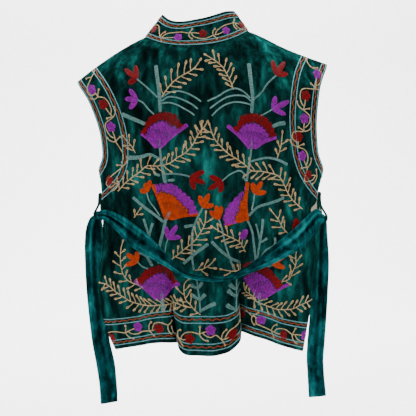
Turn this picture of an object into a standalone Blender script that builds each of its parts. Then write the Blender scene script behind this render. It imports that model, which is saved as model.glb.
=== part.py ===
"""A sleeveless velvet waistcoat with a stand collar, an open front, side vents and a sash.

Metres, +Z up. The wearer faces -Y, so +X is the wearer's left and the back looks along +Y. The origin
lies between the two neck points, where the shoulders carry the garment.

The cloth hangs on level rings round a general figure. A table of sections gives the rings their
size and a table of folds creases them. A point of the cloth is then named by two lengths: how far it
lies across the cloth from the middle of the back or front, and its level. Every panel, the collar and
the sash are grids of such points with a wall round them.
"""

import math
from collections import namedtuple

import bmesh
import bpy
import numpy as np

# ---------------------------------------------------------------- driving dimensions, in metres
WALL = 0.0026  # velvet and its cotton lining
COLLAR_WALL = 0.0030  # the collar is stiffened
SEAM = 0.0003  # between two pieces at a seam
SQUARENESS = 2.3  # 2 is an ellipse, more is boxier
HEM_LEVEL = -0.636
UNDERARM_LEVEL = -0.282
VENT_TOP = -0.335
CAP = 0.110  # how far below the shoulder line the cloth still rounds over
FRONT_GAP_TOP = 0.005  # from the middle to a front edge, at the neck
FRONT_GAP_HEM = 0.012  # and at the hem
NECK_DROP = {"back": 0.026, "front": 0.080}
NECK_ROUNDNESS = 2.4
COLLAR_SLOPE = 0.5  # how far the collar leans in for each metre it rises

OUTWARD = {"back": 1, "front": -1}  # the way along Y that each half faces
LEFT, RIGHT = 1, -1  # the wearer's, along X
SIDE_NAME = {LEFT: "left", RIGHT: "right"}

# The rings round the body. centre is the ring's shift along X.
Section = namedtuple("Section", "height centre half_width back front")
SECTIONS = (
    Section(-0.680, -0.005, 0.202, 0.128, 0.116),
    Section(-0.600, -0.001, 0.220, 0.124, 0.116),
    Section(-0.520, +0.002, 0.230, 0.117, 0.114),
    Section(-0.440, -0.005, 0.230, 0.111, 0.112),
    Section(-0.395, -0.008, 0.227, 0.110, 0.112),
    Section(-0.340, -0.006, 0.2225, 0.110, 0.115),
    Section(-0.280, -0.009, 0.231, 0.117, 0.122),
    Section(-0.210, -0.004, 0.243, 0.120, 0.120),
    Section(-0.140, +0.004, 0.254, 0.114, 0.104),
    Section(-0.080, +0.012, 0.263, 0.102, 0.086),
    Section(+0.060, +0.014, 0.270, 0.080, 0.060),
)

# The folds. across is measured round the uncreased ring from the middle, left and right are the
# fold's spread to each side, depth is inward at the hem, pinch draws the fold's mouth together, top is
# the level where the fold starts, and lean shifts it across for each metre above the hem.
Fold = namedtuple("Fold", "half across left right depth pinch top lean")
FOLDS = (
    Fold("back", -0.073, 0.0095, 0.0160, 0.040, 0.0040, -0.30, 0.03),
    Fold("back", +0.063, 0.0130, 0.0090, 0.021, 0.0050, -0.36, 0.05),
    Fold("back", -0.006, 0.0500, 0.0500, -0.014, 0.0, -0.40, 0.00),
    Fold("back", +0.150, 0.0300, 0.0300, 0.009, 0.0, -0.20, -0.05),
    Fold("back", -0.165, 0.0280, 0.0280, 0.008, 0.0, -0.22, 0.04),
    Fold("front", +0.085, 0.0150, 0.0150, 0.026, 0.0060, -0.28, -0.03),
    Fold("front", -0.078, 0.0140, 0.0140, 0.030, 0.0060, -0.30, 0.03),
    Fold("front", +0.160, 0.0250, 0.0250, 0.012, 0.0, -0.24, -0.06),
    Fold("front", -0.155, 0.0260, 0.0260, 0.010, 0.0, -0.26, 0.06),
)

# How high the hem hangs at stations across the cloth, because a fold draws the hem up.
Hem = namedtuple("Hem", "half across height")
HEMS = (
    Hem("back", -0.330, -0.6640),
    Hem("back", -0.280, -0.6560),
    Hem("back", -0.245, -0.6440),
    Hem("back", -0.205, -0.6280),
    Hem("back", -0.165, -0.6090),
    Hem("back", -0.140, -0.6015),
    Hem("back", -0.110, -0.6020),
    Hem("back", -0.085, -0.6040),
    Hem("back", -0.065, -0.6130),
    Hem("back", -0.045, -0.6280),
    Hem("back", -0.020, -0.6345),
    Hem("back", +0.020, -0.6355),
    Hem("back", +0.050, -0.6340),
    Hem("back", +0.063, -0.6250),
    Hem("back", +0.080, -0.6200),
    Hem("back", +0.105, -0.6150),
    Hem("back", +0.135, -0.6180),
    Hem("back", +0.165, -0.6275),
    Hem("back", +0.200, -0.6370),
    Hem("back", +0.250, -0.6510),
    Hem("back", +0.300, -0.6620),
    Hem("front", -0.300, -0.646),
    Hem("front", -0.190, -0.632),
    Hem("front", -0.110, -0.618),
    Hem("front", -0.016, -0.640),
    Hem("front", +0.016, -0.641),
    Hem("front", +0.115, -0.620),
    Hem("front", +0.200, -0.633),
    Hem("front", +0.300, -0.647),
)
LIFT_TOP = -0.36  # above this level the folds no longer draw the cloth up
LIFT_FADE = 1.4

# The line over the shoulders. Its middle point only carries the curve across the neck.
Shoulder = namedtuple("Shoulder", "across height")
SHOULDERS = (
    Shoulder(-0.270, -0.0735),
    Shoulder(-0.246, -0.0656),
    Shoulder(-0.166, -0.0365),
    Shoulder(-0.085, +0.0000),
    Shoulder(+0.020, +0.0160),
    Shoulder(+0.125, -0.0120),
    Shoulder(+0.219, -0.0665),
    Shoulder(+0.266, -0.1020),
    Shoulder(+0.285, -0.1180),
)
NECK_POINTS = {RIGHT: SHOULDERS[3], LEFT: SHOULDERS[5]}

# The armhole's edge on each half, from the underarm to the shoulder tip. along is the share of the
# edge, rise the share of the height, and the angles are measured round the ring from the side.
Armhole = namedtuple("Armhole", "along rise back front")
ARMHOLE = (
    Armhole(0.00, 0.000, 0.0, 0.0),
    Armhole(0.10, 0.045, 11.0, 12.0),
    Armhole(0.22, 0.135, 22.5, 24.5),
    Armhole(0.42, 0.330, 29.5, 34.0),
    Armhole(0.66, 0.620, 30.0, 36.0),
    Armhole(0.86, 0.850, 24.0, 27.0),
    Armhole(1.00, 1.000, 13.0, 13.0),
)

# How far each panel's edge stands away from the side below the vent's top, as angles round the ring.
Vent = namedtuple("Vent", "height back_left back_right front_left front_right")
VENT = (
    Vent(-0.680, 31.0, 24.0, 10.0, 10.0),
    Vent(-0.634, 28.0, 24.0, 9.5, 9.5),
    Vent(-0.590, 21.0, 23.0, 9.0, 9.0),
    Vent(-0.540, 16.5, 17.5, 8.5, 8.5),
    Vent(-0.480, 16.5, 11.5, 8.0, 8.0),
    Vent(-0.448, 21.0, 8.0, 7.5, 7.5),
    Vent(-0.415, 24.0, 8.0, 6.2, 7.0),
    Vent(-0.386, 19.0, 11.0, 4.0, 5.5),
    Vent(-0.370, 14.5, 22.0, 2.8, 4.5),
    Vent(-0.352, 7.0, 23.0, 1.6, 2.0),
    Vent(-0.343, 3.0, 8.0, 0.8, 0.8),
    Vent(VENT_TOP, 0.0, 0.0, 0.0, 0.0),
)

# How far the right front's edge flares out at its vent.
Flare = namedtuple("Flare", "height out")
FLARE = (
    Flare(-0.640, 0.000),
    Flare(-0.500, 0.004),
    Flare(-0.420, 0.009),
    Flare(-0.372, 0.013),
    Flare(-0.350, 0.006),
    Flare(VENT_TOP, 0.000),
)
FLARE_ANGLE = 0.30

# The collar's top edge over its seam, at stations round the neck: 0 is the middle of the back, 1 and
# -1 the neck points, 2 and -2 the front ends. lean is how far the top stands in from the seam.
Collar = namedtuple("Collar", "station rise lean")
COLLAR = (
    Collar(-2.00, 0.048, 0.010),
    Collar(-1.50, 0.046, 0.020),
    Collar(-1.00, 0.041, 0.030),
    Collar(-0.60, 0.052, 0.028),
    Collar(+0.00, 0.053, 0.024),
    Collar(+0.50, 0.046, 0.026),
    Collar(+1.00, 0.046, 0.036),
    Collar(+1.50, 0.046, 0.022),
    Collar(+2.00, 0.048, 0.010),
)

# The sash's slack stretch, by its place across the uncreased back. roll turns it from flat on the
# cloth to standing out, and clear is the space between it and the cloth.
Sag = namedtuple("Sag", "across height roll width thick clear")
SAG = (
    Sag(-0.2720, -0.3800, 0.0, 0.011, 0.0065, 0.00605),
    Sag(-0.2640, -0.3800, 0.0, 0.012, 0.0065, 0.00600),
    Sag(-0.2520, -0.3790, 0.0, 0.019, 0.0060, 0.00530),
    Sag(-0.2350, -0.3740, 0.0, 0.034, 0.0045, 0.0024),
    Sag(-0.2040, -0.3900, 2.0, 0.041, 0.0036, 0.0008),
    Sag(-0.1740, -0.4110, 18.0, 0.040, 0.0036, 0.0018),
    Sag(-0.1470, -0.4270, 44.0, 0.039, 0.0036, 0.0035),
    Sag(-0.1120, -0.4520, 62.0, 0.038, 0.0036, 0.0045),
    Sag(-0.0770, -0.4735, 78.0, 0.038, 0.0036, 0.0050),
    Sag(-0.0190, -0.4835, 86.0, 0.038, 0.0036, 0.0060),
    Sag(+0.0070, -0.4820, 86.0, 0.038, 0.0036, 0.0060),
    Sag(+0.0330, -0.4770, 84.0, 0.038, 0.0036, 0.0060),
    Sag(+0.0550, -0.4680, 80.0, 0.038, 0.0036, 0.0055),
    Sag(+0.0770, -0.4540, 72.0, 0.038, 0.0036, 0.0050),
    Sag(+0.1140, -0.4270, 48.0, 0.038, 0.0036, 0.0040),
    Sag(+0.1500, -0.4050, 12.0, 0.038, 0.0036, 0.0015),
    Sag(+0.1820, -0.3840, 0.0, 0.035, 0.0038, 0.0008),
    Sag(+0.2180, -0.3690, 0.0, 0.024, 0.0050, 0.0012),
    Sag(+0.2500, -0.3715, 0.0, 0.016, 0.0058, 0.00490),
    Sag(+0.2640, -0.3730, 0.0, 0.011, 0.0060, 0.00600),
    Sag(+0.2720, -0.3730, 0.0, 0.011, 0.0060, 0.00610),
)

# The sash's free ends. out and back place the middle line, turn is the width's angle from X, and
# tilt its angle up from level.
Tail = namedtuple("Tail", "along height out back turn tilt width thick")
LEFT_TAIL = (
    Tail(0.000, -0.3730, 0.2276, +0.0042, 0.0, 90.0, 0.0110, 0.0060),
    Tail(0.012, -0.3730, 0.2277, -0.0012, 0.0, 90.0, 0.0110, 0.0060),
    Tail(0.030, -0.3745, 0.2290, -0.0070, 0.0, 70.0, 0.0130, 0.0055),
    Tail(0.050, -0.3820, 0.2302, -0.0102, 0.0, 30.0, 0.0212, 0.0055),
    Tail(0.072, -0.3905, 0.2340, -0.0100, 0.0, 8.0, 0.0290, 0.0050),
    Tail(0.105, -0.4060, 0.2370, -0.0085, 0.0, 0.0, 0.0350, 0.0042),
    Tail(0.16, -0.4350, 0.2390, -0.0060, 0.0, 0.0, 0.0375, 0.0036),
    Tail(0.23, -0.4640, 0.2398, -0.0045, 5.0, 0.0, 0.0360, 0.0036),
    Tail(0.40, -0.5350, 0.2378, -0.0015, 5.0, 0.0, 0.0355, 0.0036),
    Tail(0.57, -0.6050, 0.2310, +0.0020, 0.0, 0.0, 0.0375, 0.0036),
    Tail(0.68, -0.6500, 0.2255, +0.0050, 0.0, 0.0, 0.0380, 0.0036),
    Tail(0.80, -0.7000, 0.2165, +0.0060, 0.0, 0.0, 0.0400, 0.0036),
    Tail(0.92, -0.7500, 0.2120, +0.0040, 0.0, 0.0, 0.0380, 0.0036),
    Tail(1.00, -0.7860, 0.2110, +0.0020, 20.0, 0.0, 0.0370, 0.0036),
)
RIGHT_TAIL = (
    Tail(0.000, -0.3800, 0.2438, +0.0051, 0.0, 90.0, 0.0110, 0.0065),
    Tail(0.012, -0.3800, 0.2438, -0.0012, 0.0, 90.0, 0.0110, 0.0065),
    Tail(0.030, -0.3812, 0.2446, -0.0070, 0.0, 70.0, 0.0130, 0.0068),
    Tail(0.050, -0.3870, 0.2450, -0.0100, 0.0, 35.0, 0.0160, 0.0065),
    Tail(0.072, -0.3950, 0.2440, -0.0100, 15.0, 12.0, 0.0210, 0.0060),
    Tail(0.105, -0.4080, 0.2428, -0.0090, 30.0, 3.0, 0.0260, 0.0050),
    Tail(0.16, -0.4350, 0.2420, -0.0070, 30.0, 0.0, 0.0320, 0.0040),
    Tail(0.24, -0.4680, 0.2420, -0.0050, 20.0, 0.0, 0.0350, 0.0036),
    Tail(0.40, -0.5350, 0.2404, -0.0020, 5.0, 0.0, 0.0355, 0.0036),
    Tail(0.57, -0.6020, 0.2371, +0.0020, 0.0, 0.0, 0.0365, 0.0036),
    Tail(0.70, -0.6580, 0.2333, +0.0050, 0.0, 0.0, 0.0375, 0.0036),
    Tail(0.77, -0.6850, 0.2322, +0.0055, 0.0, 0.0, 0.0365, 0.0036),
    Tail(0.85, -0.7150, 0.2341, +0.0050, 0.0, 0.0, 0.0360, 0.0036),
    Tail(1.00, -0.7720, 0.2395, +0.0020, 0.0, 0.0, 0.0380, 0.0036),
)

# The band that carries the sash at each vent, as a closed path from its seam down and back. down is
# the share of its length.
Loop = namedtuple("Loop", "out down")
LOOP = (
    Loop(0.0010, 0.00),
    Loop(0.0025, 0.05),
    Loop(0.0036, 0.24),
    Loop(0.0050, 0.44),
    Loop(0.0098, 0.62),
    Loop(0.0146, 0.80),
    Loop(0.0128, 0.95),
    Loop(0.0068, 1.00),
    Loop(0.0012, 0.95),
    Loop(-0.0014, 0.82),
    Loop(-0.0018, 0.64),
    Loop(-0.0012, 0.44),
    Loop(0.0002, 0.24),
    Loop(-0.0008, 0.07),
)
LOOP_TOP = {LEFT: -0.329, RIGHT: -0.3266}
LOOP_LENGTH = {LEFT: 0.0532, RIGHT: 0.0628}
LOOP_REACH = {LEFT: 0.95, RIGHT: 1.0}  # how full it hangs
LOOP_WIDTH = 0.010
LOOP_THICK = 0.0026
LOOP_TURN = -18  # how far its flat side turns from the front (below 0) to the back
LOOP_PLACE = 0.0060  # where it starts, along Y

# Grid counts
ROWS_BELOW_ARM, ROWS_BY_ARM, ROWS_IN_CAP = 15, 11, 6
NECK_COLUMNS = {("back", LEFT): 13, ("back", RIGHT): 10, ("front", LEFT): 9, ("front", RIGHT): 7}
SIDE_COLUMNS = {("back", LEFT): 15, ("back", RIGHT): 17, ("front", LEFT): 14, ("front", RIGHT): 14}
EDGE_BIAS = 3  # how closely the grid's bending keeps to a panel's outer edge
COLLAR_ROWS = 3
SASH_POINTS, SASH_STEPS, TAIL_STEPS = 8, 44, 28
TAIL_CROWDING = 1.5  # more than 1 crowds the steps toward the top
EDGE_ROUNDING = 0.6  # less is squarer
FINE_STEPS, SETTLING_STEPS = 400, 24
SHARP_ANGLE = 40
MITRE_LIMIT = 0.6

VELVET = ("green_velvet", (0.004, 0.055, 0.048))
SASH_VELVET = ("teal_velvet", (0.003, 0.070, 0.072))
VELVET_ROUGHNESS = 0.85


# ---------------------------------------------------------------- curves and tables
def column(table, name):
    return np.array([getattr(row, name) for row in table])


def smooth(at, knots, values):
    """A value on the smooth curve through values at knots, level past both ends."""
    slopes = np.gradient(values, knots)
    i = np.clip(np.searchsorted(knots, at) - 1, 0, len(knots) - 2)
    step = knots[i + 1] - knots[i]
    s = np.clip((at - knots[i]) / step, 0, 1)
    start = (1 + 2 * s) * (1 - s) ** 2 * values[i] + s * (1 - s) ** 2 * step * slopes[i]
    end = s * s * (3 - 2 * s) * values[i + 1] - s * s * (1 - s) * step * slopes[i + 1]
    return start + end


def smooth_column(table, key, name, at):
    return smooth(at, column(table, key), column(table, name))


def ease(share):
    """Rises smoothly from 0 to 1."""
    s = np.clip(share, 0, 1)
    return s * s * (3 - 2 * s)


def look_up(table, row, place):
    """Reads a table between its rows and columns."""
    r = np.clip(row, 0, table.shape[0] - 1.001)
    c = np.clip(place, 0, table.shape[1] - 1.001)
    i, j = r.astype(int), c.astype(int)
    a, b = r - i, c - j
    low = (1 - b) * table[i, j] + b * table[i, j + 1]
    high = (1 - b) * table[i + 1, j] + b * table[i + 1, j + 1]
    return (1 - a) * low + a * high


def unit(vectors):
    return vectors / np.linalg.norm(vectors, axis=-1, keepdims=True)


# ---------------------------------------------------------------- the hanging cloth
Cloth = namedtuple("Cloth", "outward length x y")  # a half's rings, at even angles and even lengths
LEVELS = np.linspace(HEM_LEVEL - 0.04, 0.06, 150)
ANGLES = np.linspace(0, math.pi, 361)  # from the left side to the right
ACROSS = np.linspace(-0.42, 0.42, 421)
MIDDLE = len(ANGLES) // 2
HUMP_PEAK = 0.4289  # the most that d * exp(-d * d) reaches


def lengths_from_middle(x, y):
    """Length along each ring from its middle, positive to the left."""
    pieces = np.hypot(np.diff(x, axis=1), np.diff(y, axis=1))
    along = np.concatenate([np.zeros((len(x), 1)), np.cumsum(pieces, axis=1)], axis=1)
    return along[:, [MIDDLE]] - along


def creases(half, girth):
    """How far the folds draw each point of the rings inward and to the left."""
    inward, leftward = np.zeros_like(girth), np.zeros_like(girth)
    level = LEVELS[:, None]
    for fold in FOLDS:
        if fold.half != half:
            continue
        strength = ease((fold.top - level) / (fold.top - HEM_LEVEL))
        place = girth - fold.across - fold.lean * (level - HEM_LEVEL)
        place = place / np.where(place > 0, fold.left, fold.right)
        inward += fold.depth * strength * np.exp(-(place**2))
        leftward -= fold.pinch * strength * place / 2 * np.exp(-((place / 2) ** 2)) / HUMP_PEAK
    return inward, leftward


def rings(half, creased):
    """x and y on every level and angle of one half of the body, with its folds or without."""
    centre, width, depth = (
        smooth_column(SECTIONS, "height", name, LEVELS)[:, None]
        for name in ("centre", "half_width", half)
    )
    cosine, sine = np.cos(ANGLES), np.sin(ANGLES)
    power = 2 / SQUARENESS
    x = centre + width * np.sign(cosine) * np.abs(cosine) ** power
    y = OUTWARD[half] * depth * np.abs(sine) ** power
    if not creased:
        return x, y
    inward, leftward = creases(half, lengths_from_middle(x, y))
    if half == "front":
        from_side = (math.pi - ANGLES) / FLARE_ANGLE
        inward -= smooth_column(FLARE, "height", "out", LEVELS)[:, None] * np.exp(-(from_side**2))
    right_x, right_y = np.gradient(x, axis=1), np.gradient(y, axis=1)
    size = np.hypot(right_x, right_y)
    right_x, right_y = right_x / size, right_y / size
    x = x - leftward * right_x - OUTWARD[half] * inward * right_y
    y = y - leftward * right_y + OUTWARD[half] * inward * right_x
    return x, y


def hang(half, creased=True):
    """The cloth of one half, with tables of x and y at even lengths across it."""
    x, y = rings(half, creased)
    length = lengths_from_middle(x, y)
    tables = [
        np.array([np.interp(ACROSS, at[::-1], row[::-1]) for row, at in zip(values, length)])
        for values in (x, y)
    ]
    return Cloth(OUTWARD[half], length, *tables)


CLOTHS = {half: hang(half) for half in OUTWARD}
TAUT_BACK = hang("back", creased=False)


def level_row(level):
    return (level - LEVELS[0]) / (LEVELS[1] - LEVELS[0])


def cloth_x(cloth, across, level):
    return look_up(cloth.x, level_row(level), (across - ACROSS[0]) / (ACROSS[1] - ACROSS[0]))


def cloth_y(cloth, across, level):
    return look_up(cloth.y, level_row(level), (across - ACROSS[0]) / (ACROSS[1] - ACROSS[0]))


def edge_across(cloth, side, level, angle):
    """How far across the cloth a point lies that is angle degrees from the side."""
    place = np.radians(angle) / (ANGLES[1] - ANGLES[0])
    place = place if side == LEFT else len(ANGLES) - 1 - place
    return look_up(cloth.length, level_row(level), place)


def shoulder_line(x):
    return smooth_column(SHOULDERS, "across", "height", x)


def hem_lift(half, across, level):
    """How far the folds draw the cloth up, fading out from the hem."""
    hems = [hem for hem in HEMS if hem.half == half]
    at_hem = smooth_column(hems, "across", "height", across) - HEM_LEVEL
    return at_hem * np.clip((LIFT_TOP - level) / (LIFT_TOP - HEM_LEVEL), 0, None) ** LIFT_FADE


def drape(half, across, level, cloth=None):
    """Where a point of a half's cloth hangs."""
    cloth = cloth or CLOTHS[half]
    across, level = np.broadcast_arrays(np.asarray(across, float), np.asarray(level, float))
    x = cloth_x(cloth, across, level)
    below = np.clip((shoulder_line(x) - level) / CAP, 0, 1)
    y = cloth_y(cloth, across, level) * np.sqrt(1 - (1 - below) ** 2)
    y = y + cloth.outward * SEAM / 2
    return np.stack([x, y, level + hem_lift(half, across, level)], axis=-1)


def drape_normal(half, across, level, cloth=None):
    """The way out of the cloth at a point."""
    step = 0.002
    along = drape(half, across + step, level, cloth) - drape(half, across - step, level, cloth)
    up = drape(half, across, level + step, cloth) - drape(half, across, level - step, cloth)
    return -OUTWARD[half] * unit(np.cross(along, up))


# ---------------------------------------------------------------- panels
def top_line(half, x):
    """The level where a panel ends: its neckline between the neck points, else the shoulder seam."""
    left, right = NECK_POINTS[LEFT], NECK_POINTS[RIGHT]
    share = (x - right.across) / (left.across - right.across)
    from_middle = np.clip(np.abs(2 * share - 1), 0, 1)
    neckline = right.height + share * (left.height - right.height)
    neckline = neckline - NECK_DROP[half] * (1 - from_middle**NECK_ROUNDNESS)
    return np.where(from_middle < 1, neckline, shoulder_line(x))


def top_level(half, across):
    """The level of the panel's top edge at places across the cloth."""
    level = np.full_like(across, UNDERARM_LEVEL / 4)
    for _ in range(SETTLING_STEPS):
        level = (level + top_line(half, cloth_x(CLOTHS[half], across, level))) / 2
    return level


def front_gap(level):
    share = (level - HEM_LEVEL) / -HEM_LEVEL
    return FRONT_GAP_HEM + (FRONT_GAP_TOP - FRONT_GAP_HEM) * share


def panel_edge(half, side):
    """Down a panel's outer edge (vent, side seam, armhole, shoulder tip): its levels, how far across
    the side of the body lies there, and how far across the edge lies."""
    cloth = CLOTHS[half]
    tip_across = edge_across(cloth, side, UNDERARM_LEVEL / 3, getattr(ARMHOLE[-1], half))
    tip = top_level(half, np.array([tip_across]))[0]
    low = np.linspace(HEM_LEVEL, UNDERARM_LEVEL, ROWS_BELOW_ARM + 1)
    low_angles = smooth_column(VENT, "height", f"{half}_{SIDE_NAME[side]}", low)
    along = np.arange(1, ROWS_BY_ARM + 1) / ROWS_BY_ARM
    high = UNDERARM_LEVEL + smooth_column(ARMHOLE, "along", "rise", along) * (tip - UNDERARM_LEVEL)
    high_angles = smooth_column(ARMHOLE, "along", half, along)
    levels = np.concatenate([low, high])
    angles = np.concatenate([low_angles, high_angles])
    return levels, edge_across(cloth, side, levels, 0), edge_across(cloth, side, levels, angles)


def middle_rows():
    """The rows' shares of the height down the middle, closer together where the cloth rounds over."""
    rows = ROWS_BELOW_ARM + ROWS_BY_ARM
    from_top = rows - np.arange(rows + 1)
    rounding = CAP * (1 - np.cos(np.clip(from_top / ROWS_IN_CAP, 0, 1) * math.pi / 2))
    straight = np.clip(from_top - ROWS_IN_CAP, 0, None) / (rows - ROWS_IN_CAP)
    return 1 - rounding / -HEM_LEVEL - straight * (1 - CAP / -HEM_LEVEL)


def column_shares(half, side, across_top):
    """The columns' shares of the way from a panel's middle to its side, one of them at the neck."""
    neck = NECK_POINTS[side]
    level = top_level(half, across_top)
    hangs_at = cloth_x(CLOTHS[half], across_top, level) * side
    fine = np.linspace(0, 1, len(across_top))
    neck_share = float(np.interp(neck.across * side, hangs_at, fine))
    inner, outer = NECK_COLUMNS[half, side], SIDE_COLUMNS[half, side]
    step = np.arange(inner) / inner
    by_neck = (step + np.sin(step * math.pi / 2)) / 2
    return np.concatenate([neck_share * by_neck, np.linspace(neck_share, 1, outer + 1)])


def half_panel(half, side):
    """Points and normals of the panel from its middle (or front edge) to one side, by column and row.
    The column numbered NECK_COLUMNS ends at the neck point."""
    edge_levels, full, edge = panel_edge(half, side)
    inner = side * front_gap(edge_levels) if half == "front" else 0 * edge

    def across_at(shares):
        shares = shares[:, None]
        return inner + shares * (full - inner) - shares**EDGE_BIAS * (full - edge)

    shares = column_shares(half, side, across_at(np.linspace(0, 1, FINE_STEPS))[:, -1])
    across = across_at(shares)
    top = top_level(half, across[:, -1])
    top[NECK_COLUMNS[half, side]] = NECK_POINTS[side].height
    edge_rows = (edge_levels - HEM_LEVEL) / (edge_levels[-1] - HEM_LEVEL)
    weight = shares[:, None] ** EDGE_BIAS
    share_up = (1 - weight) * middle_rows() + weight * edge_rows
    levels = HEM_LEVEL + (top[:, None] - HEM_LEVEL) * share_up
    points, normals = drape(half, across, levels), drape_normal(half, across, levels)
    at_side = (edge_levels >= VENT_TOP) & (edge_levels <= UNDERARM_LEVEL + SEAM)
    at_shoulder = slice(NECK_COLUMNS[half, side], None)
    points[-1, at_side, 1] = points[at_shoulder, -1, 1] = OUTWARD[half] * SEAM / 2
    normals[-1, at_side, 1] = normals[at_shoulder, -1, 1] = 0
    normals = unit(normals)
    at_neck = slice(None, NECK_COLUMNS[half, side] + 1)
    normals[at_neck, -1] = mitre(normals[at_neck, -1], collar_facing(points[at_neck, -1]))
    return points, normals


def collar_facing(points):
    """The way out of the collar above points of the neckline."""
    middle = (NECK_POINTS[LEFT].across + NECK_POINTS[RIGHT].across) / 2
    outward = unit((points - np.array([middle, 0, 0])) * (1, 1, 0))
    return unit(outward + np.array([0, 0, COLLAR_SLOPE]))


def mitre(one, other):
    """The offset that keeps both walls' thickness where they meet at an angle."""
    between = unit(one + other)
    return between / np.clip((between * one).sum(axis=-1, keepdims=True), MITRE_LIMIT, 1)


def wall(name, points, normals, thickness, material):
    """A closed wall round a grid of points, thickness deep."""
    columns, rows = points.shape[:2]
    number = np.arange(columns * rows).reshape(columns, rows)
    quads = np.stack([number[:-1, :-1], number[1:, :-1], number[1:, 1:], number[:-1, 1:]], axis=-1)
    skin = halve(quads.reshape(-1, 4), points.reshape(-1, 3))
    rim = np.concatenate([number[:, 0], number[-1, 1:], number[-2::-1, -1], number[0, -2:0:-1]])
    after, inside = np.roll(rim, -1), columns * rows
    offset = normals * thickness / 2
    corners = np.concatenate([(points + offset).reshape(-1, 3), (points - offset).reshape(-1, 3)])
    rim_skin = halve(np.stack([rim, after, after + inside, rim + inside], axis=-1), corners)
    faces = np.concatenate([skin, skin[:, ::-1] + inside, rim_skin])
    return solid(name, corners, faces.tolist(), material)


def halve(quads, corners):
    """Each quad as two triangles, cut along its shorter diagonal."""
    one = np.linalg.norm(corners[quads[:, 0]] - corners[quads[:, 2]], axis=-1)
    other = np.linalg.norm(corners[quads[:, 1]] - corners[quads[:, 3]], axis=-1)
    quads = np.where((other < one)[:, None], np.roll(quads, -1, axis=1), quads)
    return np.concatenate([quads[:, [0, 1, 2]], quads[:, [0, 2, 3]]])


def solid(name, corners, faces, material):
    """A named object from corners and faces, its faces turned outward."""
    mesh = bpy.data.meshes.new(name)
    mesh.from_pydata(corners.tolist(), [], faces)
    shape = bmesh.new()
    shape.from_mesh(mesh)
    bmesh.ops.recalc_face_normals(shape, faces=shape.faces)
    shape.to_mesh(mesh)
    shape.free()
    mesh.shade_smooth()
    mesh.set_sharp_from_angle(angle=math.radians(SHARP_ANGLE))
    mesh.materials.append(material)
    made = bpy.data.objects.new(name, mesh)
    bpy.context.scene.collection.objects.link(made)
    return made


# ---------------------------------------------------------------- collar
def grid_normals(points):
    """The way out of a grid whose columns run to the right round the neck and whose rows run up."""
    along = np.gradient(points, axis=0)
    up = np.gradient(points, axis=1)
    return unit(np.cross(along, up))


def neckline(panels):
    """Points and normals at the neckline, from the left front edge round the back to the right front
    edge, with each point's station."""
    rims, stations = [], []
    for half, side in (("front", LEFT), ("back", LEFT), ("back", RIGHT), ("front", RIGHT)):
        points, normals = panels[half, side]
        count = NECK_COLUMNS[half, side]
        last = count + 1 if half == "back" else count
        rim = np.stack([points[:, -1], normals[:, -1]])[:, :last]
        share = np.arange(last) / count
        station = side * (share if half == "back" else 2 - share)
        inward_order = (half == "back") == (side == LEFT)
        order = slice(None, None, -1) if inward_order else slice(None)
        skip = 1 if (half, side) == ("back", RIGHT) else 0
        rims.append(rim[:, order][:, skip:])
        stations.append(station[order][skip:])
    return np.concatenate(rims, axis=1), np.concatenate(stations)


def build_collar(panels, material):
    (seam, seam_normals), stations = neckline(panels)
    inward = -unit(collar_facing(seam) * (1, 1, 0))
    onward = unit(np.cross(np.gradient(seam, axis=0), seam_normals))
    onward = onward * np.sign(onward[:, [2]])
    rise = smooth_column(COLLAR, "station", "rise", stations)[:, None]
    lean = smooth_column(COLLAR, "station", "lean", stations)[:, None]
    foot = seam + onward * SEAM
    top = seam + inward * lean + rise * np.array([0, 0, 1])
    shares = np.linspace(0, 1, COLLAR_ROWS + 1)[None, :, None]
    points = foot[:, None] + (top - foot)[:, None] * shares
    normals = grid_normals(points)
    normals[:, 0] = seam_normals * WALL / COLLAR_WALL
    return wall("collar", points, normals, COLLAR_WALL, material)


# ---------------------------------------------------------------- sash and its loops
def strip(name, middle, across, width, thick, material):
    """A flat band of cloth, rounded at its edges, along a line of middle points."""
    along = unit(np.gradient(middle, axis=0))
    across = unit(across - along * (across * along).sum(axis=-1, keepdims=True))
    out = np.cross(across, along)
    turn = np.arange(SASH_POINTS) / SASH_POINTS * 2 * math.pi
    wide = np.sign(np.cos(turn)) * np.abs(np.cos(turn)) ** EDGE_ROUNDING
    ring = (
        middle[:, None]
        + across[:, None] * (wide[None, :] * width[:, None] / 2)[..., None]
        + out[:, None] * (np.sin(turn)[None, :] * thick[:, None] / 2)[..., None]
    )
    number = np.arange(len(middle) * SASH_POINTS).reshape(len(middle), SASH_POINTS)
    after = np.roll(number, -1, axis=1)
    sides = np.stack([number[:-1], number[1:], after[1:], after[:-1]], axis=-1).reshape(-1, 4)
    ends = [number[0].tolist(), number[-1, ::-1].tolist()]
    return solid(name, ring.reshape(-1, 3), sides.tolist() + ends, material)


def build_sash_back(material):
    """The slack stretch of the sash, which lies on the back from side to side."""
    stations = column(SAG, "across")
    share = np.linspace(0, 1, SASH_STEPS + 1)
    share = (share + (1 - np.cos(share * math.pi)) / 2) / 2
    at = stations[0] + share * (stations[-1] - stations[0])
    height, roll, width, thick, clear = (
        smooth_column(SAG, "across", name, at) for name in Sag._fields[1:]
    )
    roll = np.radians(roll)
    out = drape_normal("back", at, height, TAUT_BACK)
    stand_off = WALL / 2 + clear + thick / 2 * np.cos(roll) + width / 2 * np.sin(roll)
    middle = drape("back", at, height, TAUT_BACK) + out * stand_off[:, None]
    along = unit(np.gradient(middle, axis=0))
    up = unit(np.cross(along, out))
    across = up * np.cos(roll)[:, None] - out * np.sin(roll)[:, None]
    return strip("sash_back", middle, across, width, thick, material)


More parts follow.
